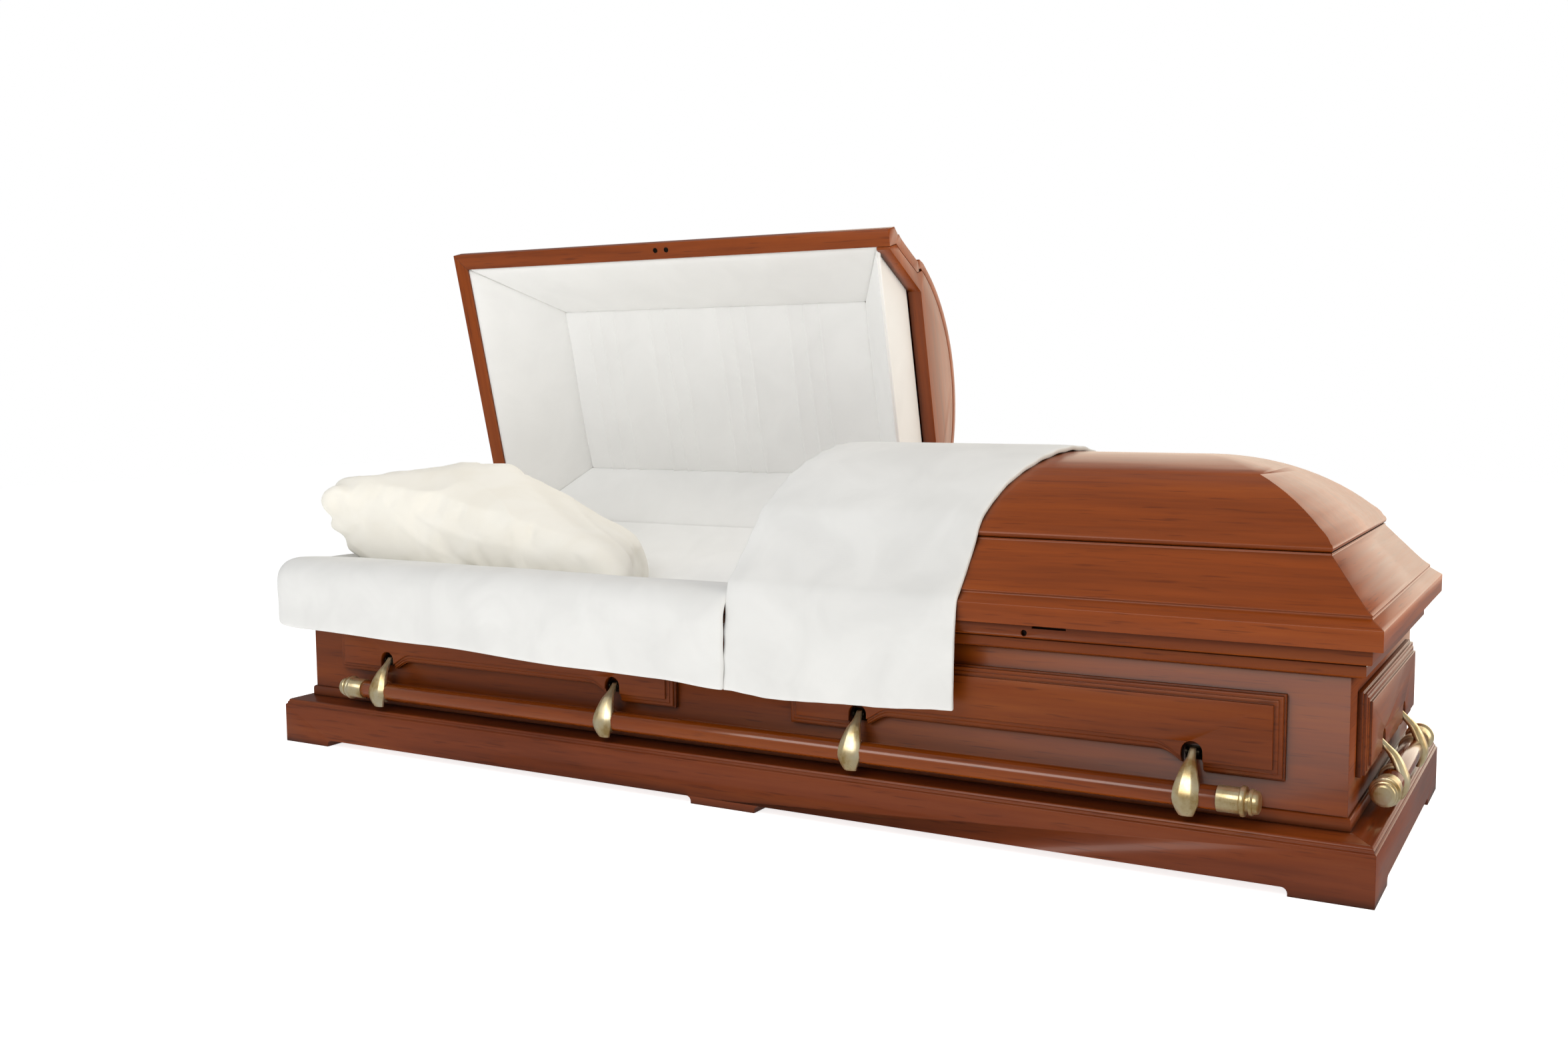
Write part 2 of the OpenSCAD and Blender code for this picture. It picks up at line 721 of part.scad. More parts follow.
hinge_foot_lid();
head_lid_side(-1);  // head_lid_front
head_lid_side(1);  // head_lid_back
head_lid_end();
head_lid_crown();
head_lid_header();
slope_side(-pad_y, pleat_front);  // lining_front
slope_side(pad_y, pleat_back);  // lining_hinge
slope_end(pad_x0, pleat_x0);  // lining_head
slope_end(pad_x1, pleat_x1);  // lining_foot
lining_centre();
hinge_head_lid();
color(wood) on_front(0) bar(bar_half);  // bar_front
color(brass) on_front(0) caps(bar_half);  // caps_front
on_front(-arm_outer) arm();  // arm_front_1
on_front(-arm_inner) arm();  // arm_front_2
on_front(arm_inner) arm();  // arm_front_3
on_front(arm_outer) arm();  // arm_front_4
color(wood) on_foot_end() bar(end_bar_half);  // bar_foot_end
color(brass) on_foot_end() caps(end_bar_half);  // caps_foot_end
on_foot_end() translate([-arm_end, 0, 0]) arm();  // arm_foot_end_1
on_foot_end() translate([arm_end, 0, 0]) arm();  // arm_foot_end_2
on_back(0) whole_handle(bar_half, side_places);  // handle_back
on_head_end() whole_handle(end_bar_half, end_places);  // handle_head_end
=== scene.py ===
"""Half-couch hardwood casket: finishes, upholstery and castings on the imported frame."""
import json
import math

import bmesh
import bpy
from mathutils import Matrix, Vector, noise


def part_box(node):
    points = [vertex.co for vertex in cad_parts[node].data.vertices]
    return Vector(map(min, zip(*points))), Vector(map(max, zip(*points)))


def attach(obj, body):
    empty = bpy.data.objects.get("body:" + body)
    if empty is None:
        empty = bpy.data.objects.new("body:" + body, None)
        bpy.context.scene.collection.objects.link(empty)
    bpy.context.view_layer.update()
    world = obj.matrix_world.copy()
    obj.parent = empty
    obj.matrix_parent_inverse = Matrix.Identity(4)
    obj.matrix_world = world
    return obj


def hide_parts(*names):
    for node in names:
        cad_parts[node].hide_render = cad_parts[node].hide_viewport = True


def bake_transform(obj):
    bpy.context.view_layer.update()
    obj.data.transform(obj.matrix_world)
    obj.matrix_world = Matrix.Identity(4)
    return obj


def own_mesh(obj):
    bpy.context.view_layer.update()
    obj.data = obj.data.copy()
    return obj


MM = 0.001

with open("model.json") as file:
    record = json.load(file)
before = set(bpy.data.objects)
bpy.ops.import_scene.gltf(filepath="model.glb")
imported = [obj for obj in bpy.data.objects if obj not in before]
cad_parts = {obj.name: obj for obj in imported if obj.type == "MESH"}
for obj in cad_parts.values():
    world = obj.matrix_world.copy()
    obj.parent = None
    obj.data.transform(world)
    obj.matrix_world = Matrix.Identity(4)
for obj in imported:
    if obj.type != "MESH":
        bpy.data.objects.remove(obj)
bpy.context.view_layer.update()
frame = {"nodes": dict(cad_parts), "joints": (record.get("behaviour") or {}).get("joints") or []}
NODES = frame["nodes"]

# ---------------------------------------------------------------- camera and light

CAMERA_PLACE = (1.3628, -2.529, 0.7389)
CAMERA_YAW = 29.6
CAMERA_PITCH = -5.37
CAMERA_ROLL = -0.42
LENS_MM = 34.65
SENSOR_MM = 36.0
DAYLIGHT = (1.0, 0.995, 0.985)
NEUTRAL = (1.0, 1.0, 1.0)
WARM_WINDOW = (1.0, 0.90, 0.74)
SOFT_CARD = (1.0, 0.98, 0.94)
WARM_CARD = (1.0, 0.87, 0.68)
# Each light's name, place, aim, size, watts, tint and the surfaces that it shows on. Cards show only in gloss
LIGHTS = [
    ("overhead", (0.2, -0.4, 3.4), (0.0, 0.0, 0.3), (4.2, 2.4), 42, DAYLIGHT, "matt"),
    ("front_fill", (-0.6, -4.2, 1.9), (0.0, 0.0, 0.4), (3.4, 1.8), 25, DAYLIGHT, "matt"),
    ("lid_fill", (-0.5, -2.3, 2.5), (-0.5, 0.4, 0.7), (2.0, 1.2), 20, NEUTRAL, "matt"),
    ("window", (3.9, 0.2, 1.6), (1.0, 0.0, 0.4), (1.8, 2.6), 70, WARM_WINDOW, "matt"),
    ("front_card", (-0.6, -4.6, 3.0), (0.2, 0.0, 0.2), (5.0, 2.0), 105, SOFT_CARD, "gloss"),
    ("back_card", (1.4, 5.0, 1.5), (0.6, 0.0, 0.5), (9.0, 3.4), 165, WARM_CARD, "gloss")]


def turn(degrees, axis):
    return Matrix.Rotation(math.radians(degrees), 4, axis)


def add_camera():
    camera = bpy.data.objects.new("camera", bpy.data.cameras.new("camera"))
    camera.data.lens = LENS_MM
    camera.data.sensor_width = SENSOR_MM
    look = turn(CAMERA_YAW, "Z") @ turn(90 + CAMERA_PITCH, "X") @ turn(CAMERA_ROLL, "Z")
    camera.matrix_world = Matrix.Translation(CAMERA_PLACE) @ look
    bpy.context.scene.collection.objects.link(camera)
    bpy.context.scene.camera = camera


def add_light(name, place, aim, size, watts, tint, shows_on):
    lamp = bpy.data.lights.new(name, "AREA")
    lamp.shape = "RECTANGLE"
    lamp.size, lamp.size_y = size
    lamp.energy = watts
    lamp.color = tint
    made = bpy.data.objects.new(name, lamp)
    made.location = place
    made.rotation_euler = (Vector(aim) - Vector(place)).to_track_quat("-Z", "Y").to_euler()
    made.visible_glossy = shows_on == "gloss"
    made.visible_diffuse = shows_on == "matt"
    bpy.context.scene.collection.objects.link(made)


add_camera()
for light in LIGHTS:
    add_light(*light)

# ---------------------------------------------------------------- materials


def linear(code):
    """Linear colour of an sRGB hex value."""
    parts = [int(code[i : i + 2], 16) / 255 for i in (1, 3, 5)]
    return tuple(p / 12.92 if p <= 0.04045 else ((p + 0.055) / 1.055) ** 2.4 for p in parts) + (1.0,)


def add_node(tree, kind, inputs=None, stops=None, **settings):
    """Adds a node. An input is a value or the socket that feeds it, and stops are a ramp's colours."""
    made = tree.nodes.new(kind)
    for key, value in settings.items():
        setattr(made, key, value)
    for key, value in (inputs or {}).items():
        if isinstance(value, bpy.types.NodeSocket):
            tree.links.new(value, made.inputs[key])
        else:
            made.inputs[key].default_value = value
    if stops:
        ramp = made.color_ramp
        while len(ramp.elements) < len(stops):
            ramp.elements.new(0.5)
        for element, (place, code) in zip(ramp.elements, stops):
            element.position = place
            element.color = linear(code)
    return made


def new_material(name):
    """A material with an empty tree, that tree, and the object coordinates that its patterns read."""
    made = bpy.data.materials.new(name)
    made.use_nodes = True
    made.node_tree.nodes.clear()
    coords = add_node(made.node_tree, "ShaderNodeTexCoord").outputs["Object"]
    return made, made.node_tree, coords


def close_material(tree, shader):
    add_node(tree, "ShaderNodeOutputMaterial", {"Surface": shader.outputs["BSDF"]})


# Reach and colour of the painted shade that darkens the wood's hollows
SHADE_REACH = 16 * MM
PAINTED_SHADE_DARK = "#1c0a03"
# Pattern scales along and across the grain: streaks of about 9 mm, fibres of about 2.5 mm and pores of about
# 1.5 mm, which is coarser than real pores so that they show, and a figure as broad as a hand
STREAK_SCALE = (1.3, 26.0, 26.0)
FIBRE_SCALE = (4.0, 95.0, 95.0)
PORE_SCALE = (14.0, 300.0, 300.0)
FIGURE_SCALE = (0.55, 3.4, 3.4)


def stained_hardwood(name, turned, dark, middle, light, roughness=0.33, coat=0.15):
    """Planed hardwood under stain and satin lacquer: long streaks, short dark pores, broad soft figure, and
    painted shade in its hollows.
    """
    made, tree, coords = new_material(name)
    grain = add_node(tree, "ShaderNodeMapping", {"Vector": coords, "Rotation": turned}).outputs["Vector"]
    streak_space, fibre_space, pore_space, figure_space = [
        add_node(tree, "ShaderNodeMapping", {"Vector": grain, "Scale": scale}).outputs["Vector"]
        for scale in (STREAK_SCALE, FIBRE_SCALE, PORE_SCALE, FIGURE_SCALE)]
    figure = add_node(
        tree, "ShaderNodeTexNoise",
        {"Vector": figure_space, "Scale": 2.2, "Detail": 3.0, "Distortion": 0.7})
    bend = add_node(
        tree, "ShaderNodeVectorMath", {0: streak_space, 1: figure.outputs["Color"]}, operation="ADD")
    streaks = add_node(
        tree, "ShaderNodeTexNoise",
        {"Vector": bend.outputs["Vector"], "Scale": 1.0, "Detail": 5.0, "Roughness": 0.6, "Distortion": 0.5})
    fibres = add_node(
        tree, "ShaderNodeTexNoise", {"Vector": fibre_space, "Scale": 1.0, "Detail": 3.0, "Roughness": 0.55})
    pores = add_node(tree, "ShaderNodeTexNoise", {"Vector": pore_space, "Scale": 1.0, "Detail": 1.0})
    pore_marks = add_node(
        tree, "ShaderNodeMapRange",
        {"Value": pores.outputs["Fac"], "From Min": 0.26, "From Max": 0.38, "To Min": 0.55, "To Max": 0.0})
    tone = add_node(
        tree, "ShaderNodeMix",
        {"Factor": 0.42, "A": figure.outputs["Fac"], "B": streaks.outputs["Fac"]}, data_type="FLOAT")
    tone_fine = add_node(
        tree, "ShaderNodeMix",
        {"Factor": 0.25, "A": tone.outputs["Result"], "B": fibres.outputs["Fac"]}, data_type="FLOAT")
    colour = add_node(
        tree, "ShaderNodeValToRGB", {"Fac": tone_fine.outputs["Result"]},
        stops=[(0.24, dark), (0.5, middle), (0.78, light)])
    pored = add_node(
        tree, "ShaderNodeMix",
        {"Factor": pore_marks.outputs["Result"], "A": colour.outputs["Color"], "B": linear(dark)},
        data_type="RGBA", blend_type="MIX")
    # Painted shade: ambient occlusion darkens the colour in the quirks and corners of the mouldings, standing
    # in for the shade that falls there
    occlusion = add_node(tree, "ShaderNodeAmbientOcclusion", {"Distance": SHADE_REACH}, samples=8)
    painted_shade = add_node(
        tree, "ShaderNodeMapRange",
        {"Value": occlusion.outputs["AO"], "From Min": 0.25, "From Max": 0.92, "To Min": 0.85, "To Max": 0.0})
    shade_darkened = add_node(
        tree, "ShaderNodeMix",
        {"Factor": painted_shade.outputs["Result"], "A": pored.outputs["Result"], "B": linear(PAINTED_SHADE_DARK)},
        data_type="RGBA", blend_type="MIX")
    gloss = add_node(
        tree, "ShaderNodeMapRange",
        {"Value": fibres.outputs["Fac"], "To Min": roughness - 0.05, "To Max": roughness + 0.07})
    relief = add_node(
        tree, "ShaderNodeBump",
        {"Height": tone_fine.outputs["Result"], "Strength": 0.10, "Distance": 0.0012})
    shader = add_node(
        tree, "ShaderNodeBsdfPrincipled",
        {"Base Color": shade_darkened.outputs["Result"], "Roughness": gloss.outputs["Result"],
         "Normal": relief.outputs["Normal"], "Specular IOR Level": 0.34, "Coat Weight": coat,
         "Coat Roughness": 0.12})
    close_material(tree, shader)
    return made


def antique_brass(name):
    """Cast zinc plated in antique brass and brushed: warm, cloudy, with fine lengthwise scratches."""
    made, tree, coords = new_material(name)
    patina = add_node(
        tree, "ShaderNodeTexNoise", {"Vector": coords, "Scale": 26.0, "Detail": 4.0, "Roughness": 0.6})
    # Brush marks a millimetre apart, drawn coarser than the real tenth of a millimetre so that they show
    brushed = add_node(tree, "ShaderNodeMapping", {"Vector": coords, "Scale": (900.0, 900.0, 60.0)})
    marks = add_node(
        tree, "ShaderNodeTexNoise", {"Vector": brushed.outputs["Vector"], "Scale": 1.0, "Detail": 2.0})
    colour = add_node(
        tree, "ShaderNodeValToRGB", {"Fac": patina.outputs["Fac"]},
        stops=[(0.34, "#c9a86c"), (0.5, "#edd8a8"), (0.68, "#f8ecca")])
    gloss = add_node(
        tree, "ShaderNodeMapRange", {"Value": marks.outputs["Fac"], "To Min": 0.22, "To Max": 0.42})
    relief = add_node(
        tree, "ShaderNodeBump", {"Height": marks.outputs["Fac"], "Strength": 0.06, "Distance": 0.0004})
    shader = add_node(
        tree, "ShaderNodeBsdfPrincipled",
        {"Base Color": colour.outputs["Color"], "Metallic": 0.85, "Roughness": gloss.outputs["Result"],
         "Normal": relief.outputs["Normal"]})
    close_material(tree, shader)
    return made


def zinc_steel(name, low="#8a8a86", high="#bdbdb8"):
    """Rolled steel leaf with bright zinc: grey, a little cloudy."""
    made, tree, coords = new_material(name)
    cloud = add_node(tree, "ShaderNodeTexNoise", {"Vector": coords, "Scale": 70.0, "Detail": 3.0})
    colour = add_node(
        tree, "ShaderNodeValToRGB", {"Fac": cloud.outputs["Fac"]}, stops=[(0.3, low), (0.7, high)])
    gloss = add_node(
        tree, "ShaderNodeMapRange", {"Value": cloud.outputs["Fac"], "To Min": 0.28, "To Max": 0.45})
    shader = add_node(
        tree, "ShaderNodeBsdfPrincipled",
        {"Base Color": colour.outputs["Color"], "Metallic": 1.0, "Roughness": gloss.outputs["Result"]})
    close_material(tree, shader)
    return made


# Threads are about 0.3 mm apart on the real cloth and are drawn coarser so that they show
WEAVE_PITCH = 2.4 * MM


def soft_cloth(name, shade, bright, wrinkle):
    """Brushed polyester crepe: matt, pale, a fine crossed weave and faint rumples."""
    made, tree, coords = new_material(name)
    weave = add_node(
        tree, "ShaderNodeTexVoronoi", {"Vector": coords, "Scale": 1 / WEAVE_PITCH, "Randomness": 0.35})
    rumple = add_node(
        tree, "ShaderNodeTexNoise",
        {"Vector": coords, "Scale": 9.0, "Detail": 3.0, "Roughness": 0.5, "Distortion": 0.8})
    colour = add_node(
        tree, "ShaderNodeValToRGB", {"Fac": rumple.outputs["Fac"]}, stops=[(0.3, shade), (0.65, bright)])
    soft = add_node(
        tree, "ShaderNodeBump",
        {"Height": rumple.outputs["Fac"], "Strength": wrinkle, "Distance": 0.012})
    fine = add_node(
        tree, "ShaderNodeBump",
        {"Height": weave.outputs["Distance"], "Strength": 0.12, "Distance": 0.0006,
         "Normal": soft.outputs["Normal"]})
    shader = add_node(
        tree, "ShaderNodeBsdfPrincipled",
        {"Base Color": colour.outputs["Color"], "Roughness": 0.9, "Normal": fine.outputs["Normal"],
         "Sheen Weight": 0.25, "Sheen Roughness": 0.5, "Specular IOR Level": 0.25})
    close_material(tree, shader)
    return made


ALONG = (0.0, 0.0, 0.0)
ACROSS = (0.0, 0.0, math.radians(90))

hinge = next(j for j in frame["joints"] if j["name"] == "head_lid_hinge")
HINGE = Vector(hinge["pos_m"])
OPEN_DEG = hinge["range_deg"][1]
# Carries a point from the closed head lid to the open one
LIFT = Matrix.Translation(HINGE) @ turn(-OPEN_DEG, "X") @ Matrix.Translation(-HINGE)
# The grain of the head lid's end boards runs across the lid, turned up with it
UP_THE_LID = tuple((turn(90, "Z") @ turn(OPEN_DEG, "X")).to_euler())

LID_TONES = ("#5c2404", "#8b3e06", "#a85207")
BODY_TONES = ("#4c1d05", "#793506", "#904808")
BASE_TONES = ("#4a1c08", "#73320f", "#884315")
wood_lid = stained_hardwood("stained_hardwood_lid", ALONG, *LID_TONES)
wood_lid_end = stained_hardwood("stained_hardwood_lid_end", ACROSS, *LID_TONES)
wood_lid_open_end = stained_hardwood("stained_hardwood_open_end", UP_THE_LID, *LID_TONES)
wood_body = stained_hardwood("stained_hardwood_body", ALONG, *BODY_TONES)
wood_body_end = stained_hardwood("stained_hardwood_body_end", ACROSS, *BODY_TONES)
wood_base = stained_hardwood("stained_hardwood_base", ALONG, *BASE_TONES)
wood_base_end = stained_hardwood("stained_hardwood_base_end", ACROSS, *BASE_TONES)
# The bars are turned and polished brighter than the boards
POLISH = {"roughness": 0.22, "coat": 0.9}
wood_bar = stained_hardwood("polished_hardwood_bar", ALONG, *BODY_TONES, **POLISH)
wood_bar_end = stained_hardwood("polished_hardwood_end_bar", ACROSS, *BODY_TONES, **POLISH)
brass = antique_brass("antique_brass_plate")
steel = zinc_steel("zinc_steel")
# Painted shade: the lugs take near-black steel standing for the shade of the recess they sit in; the strike
# cups take the same dark steel
shade_dark_steel = zinc_steel("steel_painted_shade", "#1d1914", "#3a332a")
white_cloth = soft_cloth("white_crepe", "#f0f0ee", "#f4f4f2", 0.02)
# Painted shade: the throw and the apron are the same white crepe, painted darker so that they read less
# brightly lit
shaded_white_cloth = soft_cloth("white_crepe_painted_shade", "#dcdcda", "#e3e3e1", 0.05)
ivory_cloth = soft_cloth("ivory_crepe", "#f0ece1", "#f4f1e8", 0.04)

# ---------------------------------------------------------------- boards and hardware of the frame

FINISHES = {
    wood_lid: ["foot_lid_front", "foot_lid_back", "foot_lid_crown", "head_lid_front", "head_lid_back",
               "head_lid_crown"],
    wood_lid_end: ["foot_lid_end", "foot_lid_header"],
    wood_lid_open_end: ["head_lid_end", "head_lid_header"],
    wood_body: ["side_front", "side_back", "panel_front_head", "panel_front_foot", "panels_back", "rim_front",
                "rim_back"],
    wood_bar: ["bar_front"],
    wood_bar_end: ["bar_foot_end"],
    wood_body_end: ["end_head", "end_foot", "panel_head_end", "panel_foot_end", "rim_head_end",
                    "rim_foot_end"],
    wood_base: ["base_front", "base_back", "bottom_board"],
    wood_base_end: ["base_head_end", "base_foot_end", "centre_bearer"],
    brass: ["caps_front", "caps_foot_end"],
    steel: ["hinge_fixed", "hinge_foot_lid", "hinge_head_lid"],
    # The lugs' near-black colour is painted shade
    shade_dark_steel: ["lugs_front", "lugs_back", "lugs_head_end", "lugs_foot_end"],
}
EDGE_ROUND = 0.9 * MM
METAL_ROUND = 0.3 * MM
EDGE_ANGLE = math.radians(28)
MERGE = 0.02 * MM


def add_modifier(piece, kind, **settings):
    made = piece.modifiers.new(kind.title(), kind)
    for key, value in settings.items():
        setattr(made, key, value)
    return made


def add_bevel(piece, width, segments=2, angle=EDGE_ANGLE, **settings):
    add_modifier(
        piece, "BEVEL", width=width, segments=segments, limit_method="ANGLE", angle_limit=angle, **settings)


def smooth_all(piece):
    for face in piece.data.polygons:
        face.use_smooth = True


def round_edges(piece, width):
    """Merges a board's faces and rounds its arrises, so that they catch the light."""
    smooth_all(piece)
    add_modifier(piece, "WELD", merge_threshold=MERGE)
    add_bevel(piece, width, harden_normals=True)


for material, names in FINISHES.items():
    for name in names:
        NODES[name].data.materials.clear()
        NODES[name].data.materials.append(material)
        round_edges(NODES[name], METAL_ROUND if material in (steel, shade_dark_steel, brass) else EDGE_ROUND)

# ---------------------------------------------------------------- making and placing pieces


def select_only(piece):
    bpy.ops.object.select_all(action="DESELECT")
    bpy.context.view_layer.objects.active = piece
    piece.select_set(True)


def place_in_mesh(piece):
    select_only(piece)
    bpy.ops.object.transform_apply(location=True, rotation=True, scale=True)


def edit_faces(piece, wanted):
    """Goes into edit mode with the faces selected that a test picks, and nothing else."""
    bpy.ops.object.mode_set(mode="EDIT")
    bpy.ops.mesh.select_mode(type="FACE")
    bpy.ops.mesh.select_all(action="DESELECT")
    shape = bmesh.from_edit_mesh(piece.data)
    for face in shape.faces:
        face.select = bool(wanted(face))
    shape.select_flush(True)
    bmesh.update_edit_mesh(piece.data)


def place_on(piece, body, slot, *nodes):
    """Says which body a piece rides on and which nodes it stands for; the finish slot is not used."""
    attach(piece, body)
    if nodes:
        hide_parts(*nodes)


def apply_modifiers(piece):
    select_only(piece)
    for name in [m.name for m in piece.modifiers]:
        bpy.ops.object.modifier_apply(modifier=name)


def sew_grid(name, rows, material, thickness, closed=False):
    """A padded cloth from rows of points: the rows are its upper face and it is thickened downwards."""
    count = len(rows[0])
    mesh = bpy.data.meshes.new(name)
    points = [tuple(p) for row in rows for p in row]
    faces = []
    for i in range(len(rows) - 1):
        for j in range(count if closed else count - 1):
            k = (j + 1) % count
            faces.append((i * count + j, i * count + k, (i + 1) * count + k, (i + 1) * count + j))
    mesh.from_pydata(points, [], faces)
    mesh.materials.append(material)
    piece = bpy.data.objects.new(name, mesh)
    bpy.context.scene.collection.objects.link(piece)
    if thickness:
        add_modifier(piece, "SOLIDIFY", thickness=thickness, offset=-1.0)
    add_modifier(piece, "SUBSURF", levels=1, render_levels=1)
    apply_modifiers(piece)
    smooth_all(piece)
    return piece


SAME_POINT = 0.001 * MM
CURVE_STEPS = 12


def outward(piece):
    """Turns every face of a closed piece outwards."""
    shape = bmesh.new()
    shape.from_mesh(piece.data)
    bmesh.ops.remove_doubles(shape, verts=shape.verts, dist=SAME_POINT)
    bmesh.ops.recalc_face_normals(shape, faces=shape.faces)
    shape.to_mesh(piece.data)
    shape.free()


def curve_through(points, count):
    """That many points evenly along a smooth line through the given points."""
    fine = []
    ends = [points[0]] + list(points) + [points[-1]]
    for a, b, c, d in zip(ends, ends[1:], ends[2:], ends[3:]):
        for step in range(CURVE_STEPS):
            t = step / CURVE_STEPS
            fine.append(tuple(
                0.5 * (2 * q + (r - p) * t + (2 * p - 5 * q + 4 * r - s) * t**2
                       + (3 * q - p - 3 * r + s) * t**3)
                for p, q, r, s in zip(a, b, c, d)))
    fine.append(tuple(points[-1]))
    lengths = [0.0]
    for a, b in zip(fine, fine[1:]):
        lengths.append(lengths[-1] + math.dist(a, b))
    return [at_length(fine, lengths, lengths[-1] * i / (count - 1)) for i in range(count)]


def at_length(line, lengths, along):
    for i in range(1, len(line)):
        if lengths[i] >= along - 1e-9:
            span = lengths[i] - lengths[i - 1]
            t = (along - lengths[i - 1]) / span if span else 0.0
            return tuple(a + (b - a) * t for a, b in zip(line[i - 1], line[i]))
    return line[-1]


def between(table, at):
    """Value at a place, read off straight lines between (place, value) pairs."""
    for (a, va), (b, vb) in zip(table, table[1:]):
        if at <= b:
            return va + (vb - va) * max(0.0, (at - a) / (b - a))
    return table[-1][1]


def smoothed(table, at, reach):
    """The same, averaged over nine places within a reach either side."""
    return sum(between(table, at + reach * k / 4) for k in range(-4, 5)) / 9


def eased(table, at):
    """The same with soft joins."""
    for (a, va), (b, vb) in zip(table, table[1:]):
        if at <= b:
            t = max(0.0, (at - a) / (b - a))
            return va + (vb - va) * t * t * (3 - 2 * t)
    return table[-1][1]


def line_length(line):
    return sum(math.dist(a, b) for a, b in zip(line, line[1:]))


def slope_at(line, j):
    """Direction of a line of points at one of them."""
    before, after = line[max(j - 1, 0)], line[min(j + 1, len(line) - 1)]
    return Vector((after[0] - before[0], after[1] - before[1])).normalized()


def fading(depth, reach):
    """1 at an edge, falling off over a reach inwards."""
    return math.exp(-depth / reach)


def rumple(x, y, z, size, depth):
    """A smooth random height with bumps of about that size."""
    return depth * noise.noise(Vector((x, y, z)) / size)


# ---------------------------------------------------------------- upholstery

LID_LOW, LID_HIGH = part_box("foot_lid_front")
LID_FACE_Y = LID_LOW[1]
LID_END_X = -LID_HIGH[0]
WHITE_SLOT = "cloth_white"

# Throw: padded cloth over the foot lid and its ridge. Places are millimetres inwards from the lid's face, and
# up, and waves are given in millimetres of depth and reach
THROW_THICK = 8.5 * MM
THROW_ACROSS = 58
THROW_DOWN = 112
THROW_LINE = [
    (-20, 208), (-19, 262), (-16, 320), (-11, 366), (-8, 384), (-3, 397), (9, 408), (22, 421), (38, 438),
    (56, 460), (70, 480), (78, 495), (86, 509), (99, 525), (126, 546), (160, 570), (200, 591), (236, 605),
    (262, 612.5), (300, 620), (345, 623.5), (390, 620), (420, 614.5), (450, 606.5)]
# Left and right edges, as (millimetres inwards, place along the casket)
THROW_LEFT = [
    (-20, 10.5), (60, 13.5), (72, 17), (96, 30), (150, 38), (200, 50), (258, 62), (345, 72), (450, 80)]
THROW_RIGHT = [
    (-20, 436), (60, 434), (100, 440), (160, 455), (230, 480), (300, 500), (345, 507), (450, 520)]
THROW_HEM = [(13, 3), (113, -4), (286, 0), (436, 9)]
# The columns take the middle of a half wave, which crowds them towards the edges, where the cloth puckers
CROWD_FROM = 0.12
CROWD_SPAN = 0.76
CROWD_START = 0.0351
CROWD_WIDTH = 0.9298
LEFT_BLEND = 22
RIGHT_BLEND = 30
# How far the padding thins towards an edge, and the depths of its puckers along the hem and along the sides
SEAM_FALL = 12
THROW_SWELL = 1.8
THROW_SINK = 1.0
HEM_PUCKER = 0.8
SIDE_PUCKER = 1.3


def make_throw():
    line = curve_through(THROW_LINE, THROW_DOWN)
    length = line_length(line)
    rows = []
    for j, (inward, up) in enumerate(line):
        s = j / (THROW_DOWN - 1)
        slope = slope_at(line, j)
        left, right = smoothed(THROW_LEFT, inward, LEFT_BLEND), smoothed(THROW_RIGHT, inward, RIGHT_BLEND)
        hem = s * length
        row = []
        for i in range(THROW_ACROSS):
            t = 0.5 - 0.5 * math.cos(math.pi * (CROWD_FROM + CROWD_SPAN * i / (THROW_ACROSS - 1)))
            t = (t - CROWD_START) / CROWD_WIDTH
            x = left + (right - left) * t
            edge = max(0.0, min(t, 1 - t)) * (right - left)
            swell = THROW_SWELL * (1 - fading(edge, SEAM_FALL)) * (1 - fading(hem, SEAM_FALL)) - THROW_SINK
            pucker = HEM_PUCKER * fading(hem, SEAM_FALL) * math.sin(x / 6.5)
            pucker += SIDE_PUCKER * fading(edge, 10) * math.sin(hem / 7.5)
            wave = rumple(x, hem, 3.0, 150, 1.4) * (1 - s) + rumple(x, hem, 9.0, 60, 0.35)
            flare = 3.0 * fading(hem, 160) * math.sin(x / 70 + 0.6)
            out = swell + pucker + wave + flare
            lift = eased(THROW_HEM, x) * fading(hem, 70)
            y = LID_FACE_Y + (inward - slope[1] * out) * MM
            row.append((x * MM, y, (up + slope[0] * out + lift) * MM))
        rows.append(row)
    piece = sew_grid("quilted_throw", rows, shaded_white_cloth, THROW_THICK)
    place_on(piece, "foot_lid", WHITE_SLOT, "throw")
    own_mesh(piece)


# Apron: padded flap over the rim at the viewing side, turned round the corner and back along the head end.
# Places are in millimetres
APRON_REACH = 110
APRON_END_REACH = 62
APRON_RIGHT = 14
APRON_TURN_BACK = 176
APRON_CORNER = 22
APRON_THICK = 9 * MM
APRON_DOWN = 46
APRON_PROUD = 8
APRON_FACE_X = LID_END_X / MM + APRON_PROUD
APRON_FACE_Y = LID_FACE_Y / MM
# Lengths along the front, round the corner and back along the end, and the columns in each
APRON_FRONT = APRON_RIGHT - (APRON_FACE_X + APRON_CORNER)
APRON_BEND = (APRON_CORNER + 20) * math.pi / 2
APRON_BACK = APRON_TURN_BACK - APRON_CORNER
FRONT_COLUMNS = 104
BEND_COLUMNS = 12
BACK_COLUMNS = 20
# Hem heights above the drop's lowest line, by place along the front
APRON_HEM = [(-1070, 13), (-1000, 9), (-664, 2), (-286, -12), (-123, -14), (14, -22)]
HEM_LENGTH = 330
# Share of the section where the drop starts, and where the cloth turns over the rim
DROP_FROM = 0.52
TURN_AT = 0.5


def apron_line(reach):
    """Section of the apron, as millimetres inwards from the lid's face, and up."""
    return curve_through(
        [(reach, 331), (reach + 1, 351), (reach - 4, 365), (reach - 22, 371), (reach * 0.5, 374), (18, 375),
         (-2, 371), (-14, 360), (-19, 344), (-20, 318), (-19, 276), (-20, 234)], APRON_DOWN)


